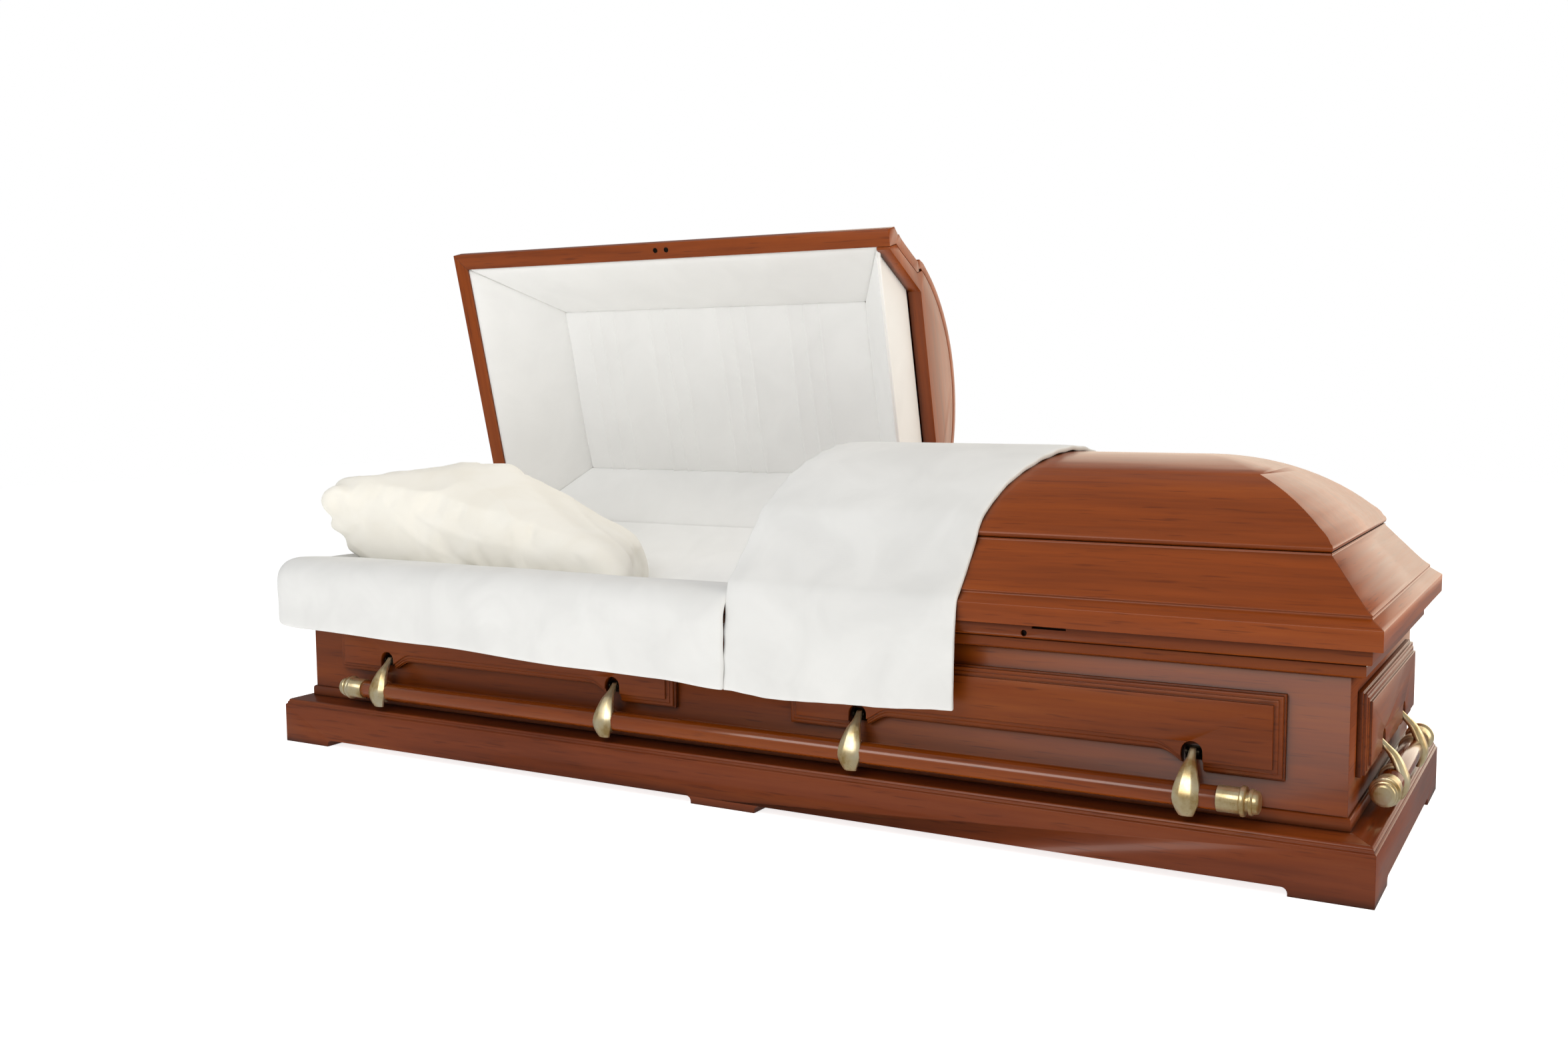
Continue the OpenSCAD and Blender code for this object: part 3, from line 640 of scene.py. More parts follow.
def apron_place(along, inward):
    """Plan position of a point that far round the apron's outer edge, measured from its foot-side end."""
    radius = max(APRON_CORNER - inward, 3)
    centre_x, centre_y = APRON_FACE_X + inward + radius, APRON_FACE_Y + inward + radius
    if along <= APRON_FRONT:
        return APRON_RIGHT + (centre_x - APRON_RIGHT) * along / APRON_FRONT, centre_y - radius
    if along <= APRON_FRONT + APRON_BEND:
        angle = (along - APRON_FRONT) / APRON_BEND * math.pi / 2
        return centre_x - radius * math.sin(angle), centre_y - radius * math.cos(angle)
    share = (along - APRON_FRONT - APRON_BEND) / APRON_BACK
    return centre_x - radius, centre_y + (APRON_FACE_Y + APRON_TURN_BACK - centre_y) * share


def make_apron():
    turned_at = APRON_FRONT + APRON_BEND
    total = turned_at + APRON_BACK
    stops = [APRON_FRONT * i / FRONT_COLUMNS for i in range(FRONT_COLUMNS)]
    stops += [APRON_FRONT + APRON_BEND * i / BEND_COLUMNS for i in range(BEND_COLUMNS)]
    stops += [turned_at + APRON_BACK * i / BACK_COLUMNS for i in range(BACK_COLUMNS + 1)]
    reaches = [(0, APRON_REACH), (APRON_FRONT - 60, APRON_REACH), (turned_at + 40, APRON_END_REACH)]
    columns = []
    for along in stops:
        row = []
        x_flat = APRON_RIGHT - along
        edge = min(along, total - along)
        turned = max(0.0, (along - APRON_FRONT) / APRON_BEND)
        hem_rise = eased(APRON_HEM, max(x_flat, APRON_HEM[0][0]))
        hem_rise += 20 * min(turned, 1.0) ** 2 + 8 * max(0.0, turned - 1)
        top_fall = 9 * min(turned, 1.0) ** 2
        for j, (inward, up) in enumerate(apron_line(eased(reaches, along))):
            s = j / (APRON_DOWN - 1)
            drop = max(0.0, (s - DROP_FROM) / (1 - DROP_FROM))
            hem = (1 - s) * HEM_LENGTH
            swell = 2.0 * (1 - fading(edge, SEAM_FALL)) * (1 - fading(hem, SEAM_FALL)) - 1.2
            pucker = HEM_PUCKER * fading(hem, SEAM_FALL) * math.sin(along / 7)
            pucker += 0.9 * fading(edge, 10) * math.sin(hem / 9)
            wave = rumple(along, hem, 5.0, 210, 2.6) + rumple(along, hem, 2.0, 70, 0.5)
            out = (swell + pucker + wave) * (1.0 if along < APRON_FRONT else 0.4)
            face_share = min(1.0, s / TURN_AT)
            outwards = out * face_share if s > TURN_AT else out * 0.35 * face_share
            # The free end is cut with rounded corners
            trim = 16 * fading(total - along, 9) * (drop**6)
            x, y = apron_place(along, inward - outwards)
            z = up + hem_rise * drop + (out * 0.6 if s < TURN_AT else 0.0) + trim - top_fall * (1 - drop)
            row.append((x * MM, y * MM, z * MM))
        columns.append(row)
    piece = sew_grid("front_apron", columns, shaded_white_cloth, APRON_THICK)
    place_on(piece, "casket", WHITE_SLOT, "apron")
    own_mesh(piece)


# Lining of the head lid: four smooth slopes round a pleated panel, drawn closed and lifted open


def closed_box(node):
    """Lowest and highest corners of a head-lid node in the closed lid."""
    back = LIFT.inverted()
    points = [back @ v.co for v in NODES[node].data.vertices]
    return [tuple(pick(p[k] for p in points) for k in range(3)) for pick in (min, max)]


SEAM_LAP = 3.5 * MM
SLOPE_PUFF = 5 * MM
SLOPE_WRINKLE = 0.4 * MM
SLOPE_THICK = 8 * MM
RISER_BACK = 1.4 * MM
RISER_PUFF = 0.8 * MM
RISER_WRINKLE = 0.2 * MM
RISER_THICK = 4 * MM
RISER_HEIGHT = 118 * MM
RISER_TOP_HALF = 200 * MM
RISER_SEED = 31.0
WRINKLE_SIZE = 0.14


def puffed_panel(name, corners, across, down, seed, puff, wrinkle, thickness):
    """A stretched pad that swells between its seams. Its corners go round its visible face."""
    middle = sum((Vector(p) for p in corners), Vector()) / 4
    a, b, c, d = [Vector(p) + (Vector(p) - middle).normalized() * SEAM_LAP for p in corners]
    normal = (b - a).cross(d - a).normalized()
    rows = []
    for j in range(down):
        s = j / (down - 1)
        row = []
        for i in range(across):
            t = i / (across - 1)
            flat = (a * (1 - t) + b * t) * (1 - s) + (d * (1 - t) + c * t) * s
            swell = puff * (1 - abs(2 * t - 1) ** 10) ** 0.5 * (1 - abs(2 * s - 1) ** 8) ** 0.5
            bump = noise.noise(flat / WRINKLE_SIZE + Vector((seed, 0, 0)))
            soft = wrinkle * bump * min(1.0, swell / puff * 1.5)
            row.append(LIFT @ (flat + normal * (swell + soft)))
        rows.append(row)
    return sew_grid(name, rows, white_cloth, thickness)


def make_lid_lining():
    front_low, front_high = closed_box("lining_front")
    hinge_high = closed_box("lining_hinge")[1]
    panel_low, panel_high = closed_box("lining_centre")
    x0, y0, low = front_low
    x1, y1 = front_high[0], hinge_high[1]
    px0, py0, deep = panel_low
    px1, py1 = panel_high[0], panel_high[1]
    outer = [(x0, y0, low), (x1, y0, low), (x1, y1, low), (x0, y1, low)]
    inner = [(px0, py0, deep), (px1, py0, deep), (px1, py1, deep), (px0, py1, deep)]
    slopes = [("front", 0, 1), ("foot", 1, 2), ("hinge", 2, 3), ("head", 3, 0)]
    for seed, (side, p, q) in enumerate(slopes):
        piece = puffed_panel(
            f"lid_slope_{side}", (outer[p], inner[p], inner[q], outer[q]), 18, 64, seed * 7.0, SLOPE_PUFF,
            SLOPE_WRINKLE, SLOPE_THICK)
        place_on(piece, "head_lid", WHITE_SLOT, f"lining_{side}")
    # Riser that closes the wedge behind the foot-side slope and fills the mouth of the header
    foot, top, half_low, half_top = x1 - RISER_BACK, low + RISER_HEIGHT, -y0 - 8 * MM, RISER_TOP_HALF
    riser = [(foot, -half_low, low), (foot, half_low, low), (foot, half_top, top), (foot, -half_top, top)]
    piece = puffed_panel("lid_mouth_riser", riser, 64, 18, RISER_SEED, RISER_PUFF, RISER_WRINKLE, RISER_THICK)
    place_on(piece, "head_lid", WHITE_SLOT)
    make_pleated_panel(px0, px1, py0, py1, deep)


# Places of the tucks along the panel, as shares of its length: four groups of three
TUCKS = [0.082, 0.131, 0.180, 0.307, 0.357, 0.406, 0.532, 0.580, 0.627, 0.760, 0.810, 0.858]
TUCK_DEPTH = 4.4 * MM
TUCK_REACH = 11 * MM
# Places either side of a tuck that its fold needs, as shares of the length
TUCK_STOPS = (-0.0030, -0.0008, 0.0, 0.0008, 0.0040, 0.0090)
TUCK_START = -0.3 * MM
EVEN_STOPS = 66
PLEAT_ROWS = 40
PLEAT_SWELL = 3.0 * MM
PLEAT_FALL = 12 * MM
PLEAT_THICK = 6 * MM


def make_pleated_panel(x0, x1, y0, y1, deep):
    places = {k / EVEN_STOPS for k in range(EVEN_STOPS + 1)}
    places.update(tuck + stop for tuck in TUCKS for stop in TUCK_STOPS)
    length, width = x1 - x0, y1 - y0
    rows = []
    for t in sorted(places):
        row = []
        for j in range(PLEAT_ROWS):
            s = j / (PLEAT_ROWS - 1)
            lean = 0.003 * math.sin(7 * s + 9 * t) + 0.004 * (s - 0.5)
            pasts = [(t - tuck) * length for tuck in TUCKS]
            pasts = [max(past, 0.0) for past in pasts if past >= TUCK_START]
            height = sum(TUCK_DEPTH * fading(past, TUCK_REACH) for past in pasts)
            edge, rim = min(t, 1 - t) * length, min(s, 1 - s) * width
            swell = PLEAT_SWELL * (1 - fading(edge, PLEAT_FALL)) * (1 - fading(rim, PLEAT_FALL))
            soft = rumple(t * length, s * 0.38, 1.0, 0.12, 0.25 * MM)
            x = x0 + (t + lean * 0.6) * length + SEAM_LAP * (2 * t - 1)
            y = y0 + s * width + SEAM_LAP * (2 * s - 1)
            row.append(LIFT @ Vector((x, y, deep - height - swell - soft)))
        rows.append(row)
    piece = sew_grid("pleated_panel", rows, white_cloth, -PLEAT_THICK)
    place_on(piece, "head_lid", WHITE_SLOT, "lining_centre")


# Cloth from the lower crest of the hinge-side slope over the hinged rail and down across the bed
OVERLAY_LINE = [
    (355, 413), (350, 408), (338, 396), (318, 381), (297, 372), (275, 366), (240, 357), (200, 347),
    (140, 333), (60, 319), (-40, 309), (-140, 304.5), (-232, 302.5)]
OVERLAY_X = (-996, 22)
OVERLAY_DOWN = 48
OVERLAY_ACROSS = 96
OVERLAY_THICK = 3.5 * MM


def make_hinge_overlay():
    rows = []
    line = curve_through(OVERLAY_LINE, OVERLAY_DOWN)
    length = line_length(line)
    for j, (y, z) in enumerate(line):
        s = j / (OVERLAY_DOWN - 1)
        slope = slope_at(line, j)
        row = []
        for i in range(OVERLAY_ACROSS):
            x = OVERLAY_X[0] + (OVERLAY_X[1] - OVERLAY_X[0]) * i / (OVERLAY_ACROSS - 1)
            out = (2.0 + rumple(x, s * length, 6.0, 120, 1.5)) * math.sin(math.pi * s)
            row.append((x * MM, (y + slope[1] * out) * MM, (z - slope[0] * out) * MM))
        rows.append(row)
    piece = sew_grid("hinge_overlay", rows, white_cloth, -OVERLAY_THICK)
    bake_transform(piece)


BEND_POINTS = 5
SIDE_POINTS = 9


def rounded_ring(half_wide, half_high, radius):
    """A rounded rectangle as a ring of points, with even points along its sides."""
    arcs = []
    for side_x, side_y, first in ((1, 1, 0), (-1, 1, 90), (-1, -1, 180), (1, -1, 270)):
        for k in range(BEND_POINTS):
            angle = math.radians(first + 90 * k / (BEND_POINTS - 1))
            arcs.append((side_x * (half_wide - radius) + radius * math.cos(angle),
                         side_y * (half_high - radius) + radius * math.sin(angle)))
    ring = []
    for k, (a, b) in enumerate(zip(arcs, arcs[1:] + arcs[:1])):
        ring.append(a)
        if k % BEND_POINTS == BEND_POINTS - 1:
            for step in range(1, SIDE_POINTS):
                t = step / SIDE_POINTS
                ring.append((a[0] + (b[0] - a[0]) * t, a[1] + (b[1] - a[1]) * t))
    return ring


END_STEPS = 5
LEAST_RADIUS = 0.2 * MM
PAD_RUMPLE = 0.25
PAD_RUMPLE_SIZE = 0.13


def flat_topped(share, power):
    """1 over most of a side, falling to 0 at its ends, where the share is -1 or 1."""
    return max(0.0, (1 - abs(share) ** power)) ** 0.5


def make_pad(name, low, high, radius, puff, run_axis, stations):
    """A crowned pad in a box: its rounded section runs along one axis and closes over rounded ends."""
    low, high = Vector(low), Vector(high)
    middle, half = (low + high) / 2, (high - low) / 2
    side_axis = 1 if run_axis == 0 else 0
    run_half, wide_half, high_half = half[run_axis], half[side_axis], half[2]
    angles = [math.pi / 2 * k / END_STEPS for k in range(END_STEPS + 1)]
    ends = [(radius * (1 - math.sin(a)), radius * (1 - math.cos(a))) for a in angles]
    straight = 2 * run_half - 2 * radius
    places = [(-run_half + inset, shrink) for shrink, inset in ends]
    places += [(-run_half + radius + straight * k / stations, 0.0) for k in range(1, stations)]
    places += [(run_half - inset, shrink) for shrink, inset in reversed(ends)]
    rows = []
    for along, shrink in places:
        row = []
        bend = max(radius - shrink, LEAST_RADIUS)
        for across, up in rounded_ring(wide_half - shrink, high_half - shrink, bend):
            u, v, w = along / run_half, across / wide_half, up / high_half
            bump = 1 + PAD_RUMPLE * noise.noise(Vector((along, across, up)) / PAD_RUMPLE_SIZE)
            top = puff * flat_topped(u, 8) * flat_topped(v, 6) * bump
            side = puff * flat_topped(u, 8) * flat_topped(w, 4) * bump
            point = Vector()
            point[run_axis] = middle[run_axis] + along
            point[side_axis] = middle[side_axis] + across + math.copysign(side, across) * abs(v) ** 8
            point[2] = middle[2] + up + math.copysign(top, up) * abs(w) ** 8
            row.append(point)
        rows.append(row)
    piece = sew_grid(name, rows, white_cloth, 0, closed=True)
    close_ends(piece)
    return piece


def close_ends(piece):
    shape = bmesh.new()
    shape.from_mesh(piece.data)
    rims = [e for e in shape.edges if e.is_boundary]
    bmesh.ops.holes_fill(shape, edges=rims, sides=0)
    bmesh.ops.remove_doubles(shape, verts=shape.verts, dist=SAME_POINT)
    bmesh.ops.recalc_face_normals(shape, faces=shape.faces)
    shape.to_mesh(piece.data)
    shape.free()
    smooth_all(piece)


HEADER_TAPER = 0.352
BED_INSET = Vector((2, 2, 0)) * MM
# Room for the header cushion to pass through the mouth of the other lid
HEADER_CLEAR = Vector((0, 3, 1.5)) * MM
PAD_PUFF = 1.5 * MM
# Each pad's name, node, body, inset from the node's box, radius, run axis, stations and fill
PADS = [
    ("mattress_pad", "mattress", "casket", BED_INSET, 22 * MM, 0, 70, 0.9),
    ("foot_lid_pad", "foot_lid_lining", "foot_lid", Vector(), 7 * MM, 0, 60, 0.7),
    ("header_cushion", "header_pad", "foot_lid", HEADER_CLEAR, 11 * MM, 1, 40, 0.7)]


def make_pads():
    """Mattress, the foot lid's underlining and the pad on its header."""
    for name, node, body, inset, radius, run_axis, stations, fill in PADS:
        low, high = [Vector(p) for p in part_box(node)]
        low, high = low + inset, high - inset
        piece = make_pad(name, low, high, radius, PAD_PUFF, run_axis, stations)
        if name == "header_cushion":
            for vertex in piece.data.vertices:
                vertex.co.y *= 1 - HEADER_TAPER * max(0.0, (vertex.co.z - low[2]) / (high[2] - low[2]))
        place_on(piece, body, WHITE_SLOT, node)


TUB_WALL = 22 * MM
TUB_ROUND = 6 * MM
# Room between stacked parts, so that their faces don't share a plane
HAIR = 0.3 * MM
BAND_THICK = 11 * MM
BAND_LOW = 303 * MM
BAND_TOP = 363 * MM
BAND_RADIUS = 4.5 * MM
BAND_PUFF = 1.0 * MM
BAND_STATIONS = 60


def make_tub_lining():
    """Cloth-covered tray round the bed, with a padded band that hides the rim's inner face."""
    low, high = [Vector(p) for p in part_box("body_lining")]
    floor_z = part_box("mattress")[0][2] - HAIR
    bpy.ops.object.select_all(action="DESELECT")
    bpy.ops.mesh.primitive_cube_add(size=1, location=(low + high) / 2, scale=high - low)
    piece = bpy.context.active_object
    piece.name = "tub_lining"
    place_in_mesh(piece)
    edit_faces(piece, lambda f: f.normal.z > 0.9)
    bpy.ops.mesh.inset(thickness=TUB_WALL)
    bpy.ops.mesh.extrude_region_move(TRANSFORM_OT_translate={"value": (0, 0, floor_z - high[2])})
    bpy.ops.object.mode_set(mode="OBJECT")
    add_bevel(piece, TUB_ROUND, 3)
    apply_modifiers(piece)
    smooth_all(piece)
    piece.data.materials.append(white_cloth)
    place_on(piece, "casket", WHITE_SLOT, "body_lining")
    x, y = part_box("rim_head_end")[1][0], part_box("rim_front")[1][1]
    bands = [
        ("wall_pad_front", (x, y + HAIR), (-x, y + BAND_THICK), 0),
        ("wall_pad_back", (x, -y - BAND_THICK), (-x, -y - HAIR), 0),
        ("wall_pad_head", (x + HAIR, y), (x + BAND_THICK, -y), 1),
        ("wall_pad_foot", (-x - BAND_THICK, y), (-x - HAIR, -y), 1)]
    for name, start, end, run_axis in bands:
        low, high = (*start, BAND_LOW), (*end, BAND_TOP)
        pad = make_pad(name, low, high, BAND_RADIUS, BAND_PUFF, run_axis, BAND_STATIONS)
        place_on(pad, "casket", WHITE_SLOT)


# Pillow: soft bag that fills the head end, gathered into a ruffle at its far end
PILLOW_VOXEL = 7 * MM
PILLOW_CAP = 15 * MM
PILLOW_FRAMES = 20
PILLOW_START = 0.975
PILLOW_PRESSURE = 4.0
PILLOW_SLACK = 0.05
PILLOW_AXIS_Y = -0.08
PILLOW_AXIS_Z = 0.43
RUFFLE_FROM = -0.90
RUFFLE_LENGTH = 0.14
RUFFLE_DEPTH = 10 * MM
RUFFLE_COUNT = 21
FOLD_DEPTH = 2.0 * MM
CREASE_DEPTH = 6.0 * MM
PILLOW_SLANT = 0.5
PILLOW_TOE = 0.075
RESTING = 20 * MM
BED_CLEAR = 0.8 * MM


def kept_within(value):
    return max(0.0, min(1.0, value))


def pillow_shape(piece):
    """Ruffles the gathered end and lays long soft folds across the bag."""
    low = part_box("pillow")[0]
    # The foot side of the bag is cut back towards the hinge side, and its toe runs out along the bed
    for vertex in piece.data.vertices:
        x, y, z = vertex.co
        foot_side = kept_within((x + 0.95) / 0.6)
        vertex.co.x -= PILLOW_SLANT * (y - low[1]) * foot_side
        vertex.co.x += PILLOW_TOE * foot_side**2 * max(0.0, (0.44 - z) / 0.14)
    for vertex in piece.data.vertices:
        x, y, z = vertex.co
        around = math.atan2(z - PILLOW_AXIS_Z, y - PILLOW_AXIS_Y)
        painted_shade = kept_within((RUFFLE_FROM - x) / RUFFLE_LENGTH) ** 1.2
        ripple = math.sin(around * RUFFLE_COUNT + 3.0 * noise.noise(vertex.co / 0.05))
        fold = noise.noise(Vector((x / 0.16 + y / 0.4, y / 0.12 - z / 0.2, z / 0.05)))
        valley = noise.noise(Vector((x / 0.22 + z / 0.3, y / 0.3, z / 0.07 + x / 0.19)) + Vector((4, 2, 7)))
        crease = max(0.0, 1.0 - abs(valley) * 2) ** 6
        push = painted_shade * RUFFLE_DEPTH * ripple + (1 - painted_shade) * (FOLD_DEPTH * fold + CREASE_DEPTH * crease)
        if z > low[2] + RESTING:
            vertex.co += vertex.normal * push


def swell_cloth(piece, floor_z):
    """Blows a remeshed pad up as cloth. Points stay near their start, and over a floor."""
    start = [v.co.copy() for v in piece.data.vertices]
    made = add_modifier(piece, "CLOTH")
    made.settings.quality = 5
    made.settings.mass = 0.25
    made.settings.use_pressure = True
    made.settings.uniform_pressure_force = PILLOW_PRESSURE
    made.settings.shrink_min = -PILLOW_SLACK
    made.settings.bending_stiffness = 0.4
    made.settings.effector_weights.gravity = 0
    scene = bpy.context.scene
    for frame_number in range(1, PILLOW_FRAMES + 1):
        scene.frame_set(frame_number)
    shape = piece.evaluated_get(bpy.context.evaluated_depsgraph_get())
    moved = [v.co.copy() for v in shape.data.vertices]
    piece.modifiers.remove(made)
    scene.frame_set(1)
    for vertex, old, new in zip(piece.data.vertices, start, moved):
        step = new - old
        if step.length > PILLOW_CAP:
            step *= PILLOW_CAP / step.length
        vertex.co = old + step
    for vertex in piece.data.vertices:
        vertex.co.z = max(vertex.co.z, floor_z)


def make_pillow():
    low, high = [Vector(p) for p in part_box("pillow")]
    bed_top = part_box("mattress")[1][2]
    piece = bpy.data.objects.new("head_pillow", NODES["pillow"].data.copy())
    piece.data.materials.clear()
    bpy.context.scene.collection.objects.link(piece)
    outward(piece)
    centre = (low + high) / 2
    for vertex in piece.data.vertices:
        vertex.co = centre + (vertex.co - centre) * PILLOW_START
    add_modifier(piece, "REMESH", mode="VOXEL", voxel_size=PILLOW_VOXEL)
    add_modifier(piece, "SMOOTH", factor=0.8, iterations=14)
    apply_modifiers(piece)
    pillow_shape(piece)
    swell_cloth(piece, bed_top + BED_CLEAR)
    add_modifier(piece, "SMOOTH", factor=0.5, iterations=2)
    add_modifier(piece, "SUBSURF", levels=1, render_levels=1)
    apply_modifiers(piece)
    smooth_all(piece)
    piece.data.materials.append(ivory_cloth)
    place_on(piece, "casket", "cloth_ivory", "pillow")
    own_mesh(piece)


make_throw()
make_apron()
make_lid_lining()
make_hinge_overlay()
make_pads()
make_tub_lining()
make_pillow()

# ---------------------------------------------------------------- handles

# Places are in millimetres
BODY_SIDE = 310.5
BODY_END = 1021.0
# Leaf of an arm: height, how far its back and its front stand out from the body, and half its width
LEAF = [(192, 5, 13, 5), (186, 4, 19, 6), (178, 12, 27.5, 7), (168, 23, 38, 11.5), (156, 30, 46, 15.2),
        (144, 35.5, 51.5, 18.6), (131, 39.5, 56.5, 20.5), (120, 40.5, 57.2, 19.6), (108, 41, 54.5, 15),
        (98, 39, 49, 10.5)]
LEAF_STEPS = 22
LEAF_SIDES = 8
LEAF_ROUND = 1.3 * MM
LEAF_ANGLE = math.radians(20)
RING_OUTER = 21.6
RING_HALF = 10
RING_LIP = 1.2 * MM
RING_ROUND = 1.6 * MM
RING_ANGLE = math.radians(50)
CAST_ANGLE = math.radians(34)
BAR_OUT = 34
BAR_HEIGHT = 128
ARM_PLACES = (-803, -250, 250, 803)
END_ARM_PLACES = (-110, 110)


def make_leaf(name):
    """The leaf of an arm: one outline drawn down through its stations."""
    stations = curve_through([tuple(s) for s in LEAF], LEAF_STEPS)
    height, back, face, half_width = stations[0]
    bpy.ops.object.select_all(action="DESELECT")
    bpy.ops.mesh.primitive_circle_add(
        vertices=LEAF_SIDES, radius=1, fill_type="NGON", rotation=(0, 0, math.pi / LEAF_SIDES))
    leaf = bpy.context.active_object
    leaf.name = name
    place_in_mesh(leaf)
    widen = 1 / math.cos(math.pi / LEAF_SIDES)
    for vertex in leaf.data.vertices:
        vertex.co.x *= widen * half_width * MM
        vertex.co.y *= widen * (face - back) / 2 * MM
        vertex.co.y -= (BODY_SIDE + (back + face) / 2) * MM
        vertex.co.z = height * MM
    bpy.ops.object.mode_set(mode="EDIT")
    bpy.ops.mesh.select_all(action="SELECT")
    for last, here in zip(stations, stations[1:]):
        out_last, out_here = (last[1] + last[2]) / 2, (here[1] + here[2]) / 2
        bpy.ops.mesh.extrude_region_move(
            TRANSFORM_OT_translate={"value": (0, (out_last - out_here) * MM, (here[0] - last[0]) * MM)})
        bpy.ops.transform.resize(
            value=(here[3] / last[3], (here[2] - here[1]) / (last[2] - last[1]), 1),
            center_override=(0, -(BODY_SIDE + out_here) * MM, here[0] * MM))
    bpy.ops.object.mode_set(mode="OBJECT")
    add_bevel(leaf, LEAF_ROUND, 2, LEAF_ANGLE)
    apply_modifiers(leaf)
    return leaf


def make_ring():
    """The ring of an arm, which goes round the bar."""
    bpy.ops.object.select_all(action="DESELECT")
    bpy.ops.mesh.primitive_cylinder_add(
        vertices=40, radius=RING_OUTER * MM, depth=2 * RING_HALF * MM,
        location=(0, -(BODY_SIDE + BAR_OUT) * MM, BAR_HEIGHT * MM), rotation=(0, math.pi / 2, 0))
    ring = bpy.context.active_object
    place_in_mesh(ring)
    edit_faces(ring, lambda f: abs(f.normal.x) > 0.9)
    bpy.ops.mesh.inset(thickness=RING_LIP)
    bpy.ops.object.mode_set(mode="OBJECT")
    add_bevel(ring, RING_ROUND, 3, RING_ANGLE)
    apply_modifiers(ring)
    return ring


def make_arm(name):
    """A cast arm at the middle of the front: leaf with a flat face and sloping cheeks, and its ring."""
    leaf = make_leaf(name)
    ring = make_ring()
    select_only(leaf)
    ring.select_set(True)
    bpy.ops.object.join()
    outward(leaf)
    select_only(leaf)
    bpy.ops.object.shade_smooth_by_angle(angle=CAST_ANGLE)
    leaf.data.materials.append(brass)
    return leaf


STRIKE_PLACES = (-500, -472)
STRIKE_R = 5.5 * MM
# A cup stands proud of the rail by half its height, and its middle is sunk by less than that
STRIKE_T = 0.7 * MM
STRIKE_SINK = 0.4 * MM
STRIKE_FROM_FACE = 15 * MM
STRIKE_RIM = 1.6 * MM
STRIKE_ROUND = 0.3 * MM


def make_strikes():
    """Two strike cups in the underside of the head lid's front rail."""
    for k, place in enumerate(STRIKE_PLACES):
        bpy.ops.object.select_all(action="DESELECT")
        bpy.ops.mesh.primitive_cylinder_add(
            vertices=24, radius=STRIKE_R, depth=2 * STRIKE_T,
            location=(place * MM, LID_FACE_Y + STRIKE_FROM_FACE, LID_LOW[2]))
        cup = bpy.context.active_object
        cup.name = f"strike_cup_{k + 1}"
        place_in_mesh(cup)
        edit_faces(cup, lambda f: f.normal.z < -0.9)
        bpy.ops.mesh.inset(thickness=STRIKE_RIM)
        bpy.ops.mesh.extrude_region_move(TRANSFORM_OT_translate={"value": (0, 0, STRIKE_SINK)})
        bpy.ops.object.mode_set(mode="OBJECT")
        add_bevel(cup, STRIKE_ROUND)
        apply_modifiers(cup)
        cup.data.transform(LIFT)
        cup.data.materials.append(shade_dark_steel)
        place_on(cup, "head_lid", "steel")


def placed_copy(source, name, move):
    """A copy with its own merged mesh, moved in the mesh."""
    copy = bpy.data.objects.new(name, source.data.copy())
    bpy.context.scene.collection.objects.link(copy)
    copy.data.transform(move)
    outward(copy)
    return copy


# Each side's name, turn from the front and body, then the arm places and the shift from the front
END_SHIFT = Matrix.Translation((0, (BODY_SIDE - BODY_END) * MM, 0))
ARM_ROWS = [
    ([("front", 0, "front_bar"), ("back", 180, "back_bar")], ARM_PLACES, Matrix()),
    ([("foot_end", 90, "foot_end_bar"), ("head_end", -90, "head_end_bar")], END_ARM_PLACES, END_SHIFT)]
# The bars and caps of the back and the head end are copies turned half round
BAR_COPIES = [
    ("bar_front", "bar_back", "back_bar", "handle_back", wood_bar, "wood_stained"),
    ("caps_front", "caps_back", "back_bar", "handle_back", brass, "brass"),
    ("bar_foot_end", "bar_head_end", "head_end_bar", "handle_head_end", wood_bar_end, "wood_stained"),
    ("caps_foot_end", "caps_head_end", "head_end_bar", "handle_head_end", brass, "brass")]


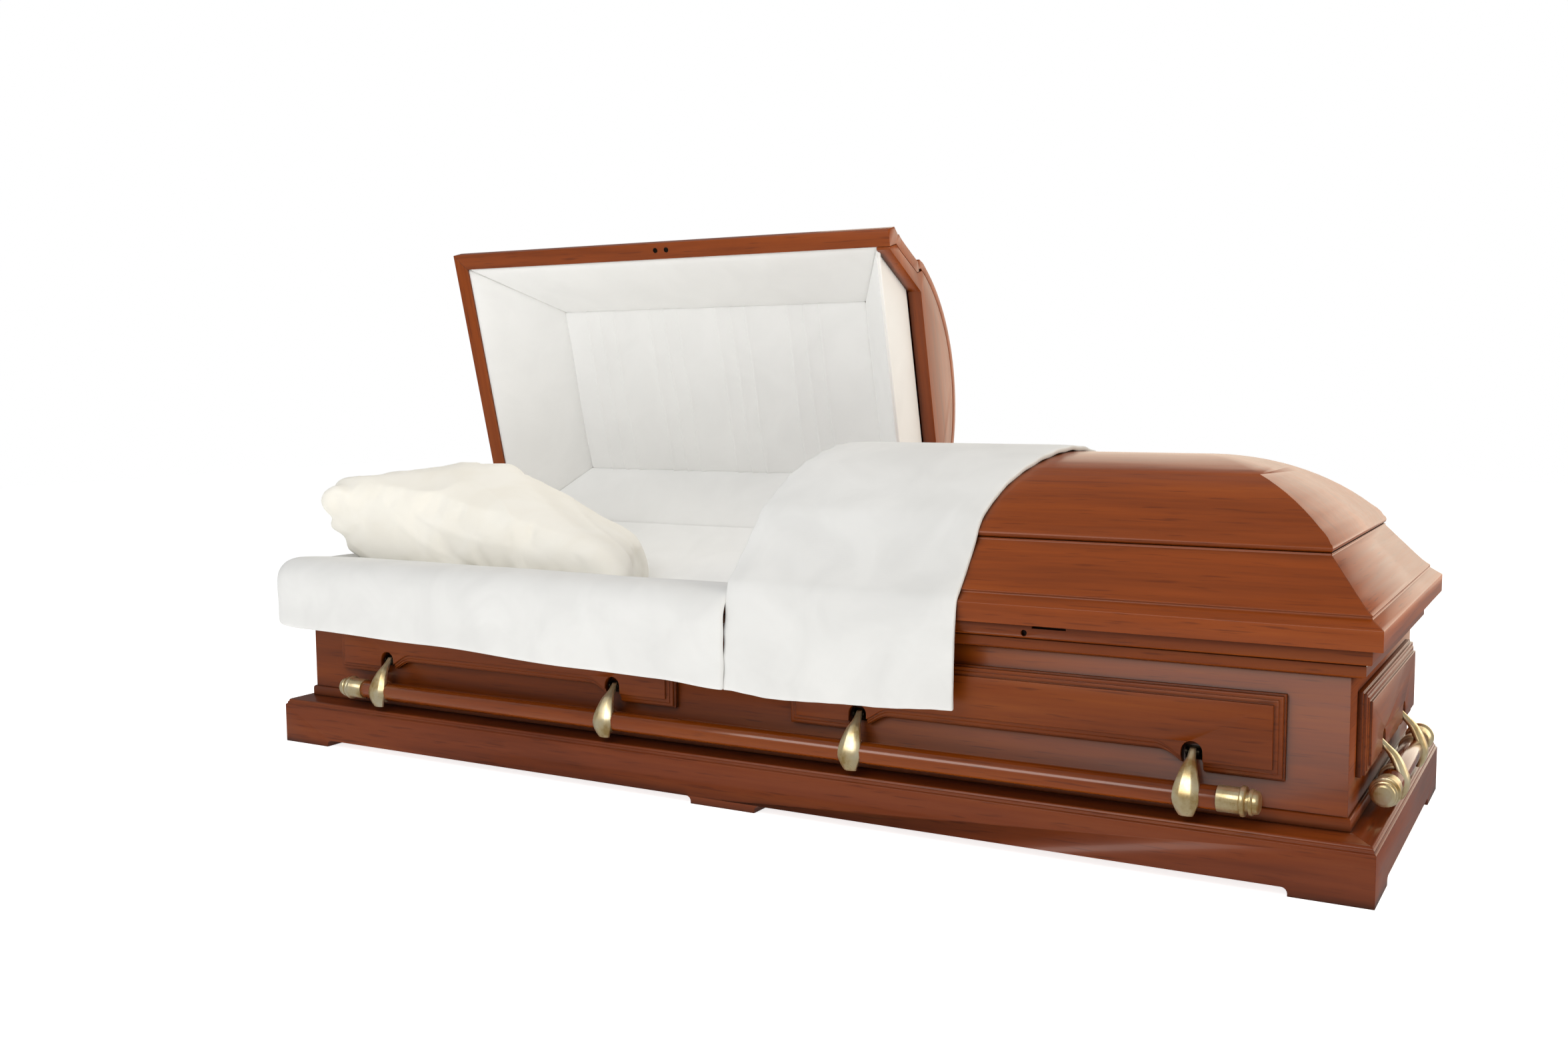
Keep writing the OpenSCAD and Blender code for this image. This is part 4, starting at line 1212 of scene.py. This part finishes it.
def make_handles():
    pattern = make_arm("arm_pattern")
    for sides, places, shift in ARM_ROWS:
        for k, place in enumerate(places):
            slide = Matrix.Translation((place * MM, 0, 0))
            for side, degrees, body in sides:
                arm = placed_copy(pattern, f"leaf_arm_{side}_{k + 1}", turn(degrees, "Z") @ slide @ shift)
                # Only the sides with arms of their own in the frame have nodes to stand for
                nodes = [n for n in (f"arm_{side}_{k + 1}",) if n in NODES]
                place_on(arm, body, "brass", *nodes)
    bpy.data.objects.remove(pattern)
    for source, name, body, node, material, slot in BAR_COPIES:
        copy = placed_copy(NODES[source], name, turn(180, "Z"))
        copy.data.materials.clear()
        copy.data.materials.append(material)
        select_only(copy)
        bpy.ops.object.shade_smooth_by_angle(angle=EDGE_ANGLE)
        place_on(copy, body, slot, node)


make_handles()
make_strikes()

# ---------------------------------------------------------------- stage

WHITE = (1.0, 1.0, 1.0, 1.0)
FLOOR_HALF = 9.0
AMBIENT = 0.24
BACKDROP = 1.0
FLOOR_GLOW = 0.8


def add_floor():
    bpy.ops.object.select_all(action="DESELECT")
    bpy.ops.mesh.primitive_plane_add(size=2 * FLOOR_HALF)
    floor = bpy.context.active_object
    floor.name = "floor"
    made, tree, coords = new_material("pale_floor")
    mottle = add_node(tree, "ShaderNodeTexNoise", {"Vector": coords, "Scale": 3.0, "Detail": 3.0})
    colour = add_node(
        tree, "ShaderNodeValToRGB", {"Fac": mottle.outputs["Fac"]},
        stops=[(0.3, "#f1f1ef"), (0.7, "#f5f5f3")])
    shader = add_node(
        tree, "ShaderNodeBsdfPrincipled",
        {"Base Color": colour.outputs["Color"], "Roughness": 0.8, "Emission Color": WHITE,
         "Emission Strength": FLOOR_GLOW})
    close_material(tree, shader)
    floor.data.materials.append(made)
    floor.visible_glossy = False
    made.cycles.emission_sampling = "NONE"


def add_sky():
    world = bpy.data.worlds.new("studio")
    bpy.context.scene.world = world
    world.use_nodes = True
    tree = world.node_tree
    tree.nodes.clear()
    # The backdrop looks white, and lights the object with less than it shows
    path = add_node(tree, "ShaderNodeLightPath")
    level = add_node(
        tree, "ShaderNodeMapRange",
        {"Value": path.outputs["Is Camera Ray"], "To Min": AMBIENT, "To Max": BACKDROP})
    glow = add_node(
        tree, "ShaderNodeBackground", {"Color": WHITE, "Strength": level.outputs["Result"]})
    add_node(tree, "ShaderNodeOutputWorld", {"Surface": glow.outputs["Background"]})
    bpy.context.scene.view_settings.view_transform = "Standard"


add_floor()
add_sky()
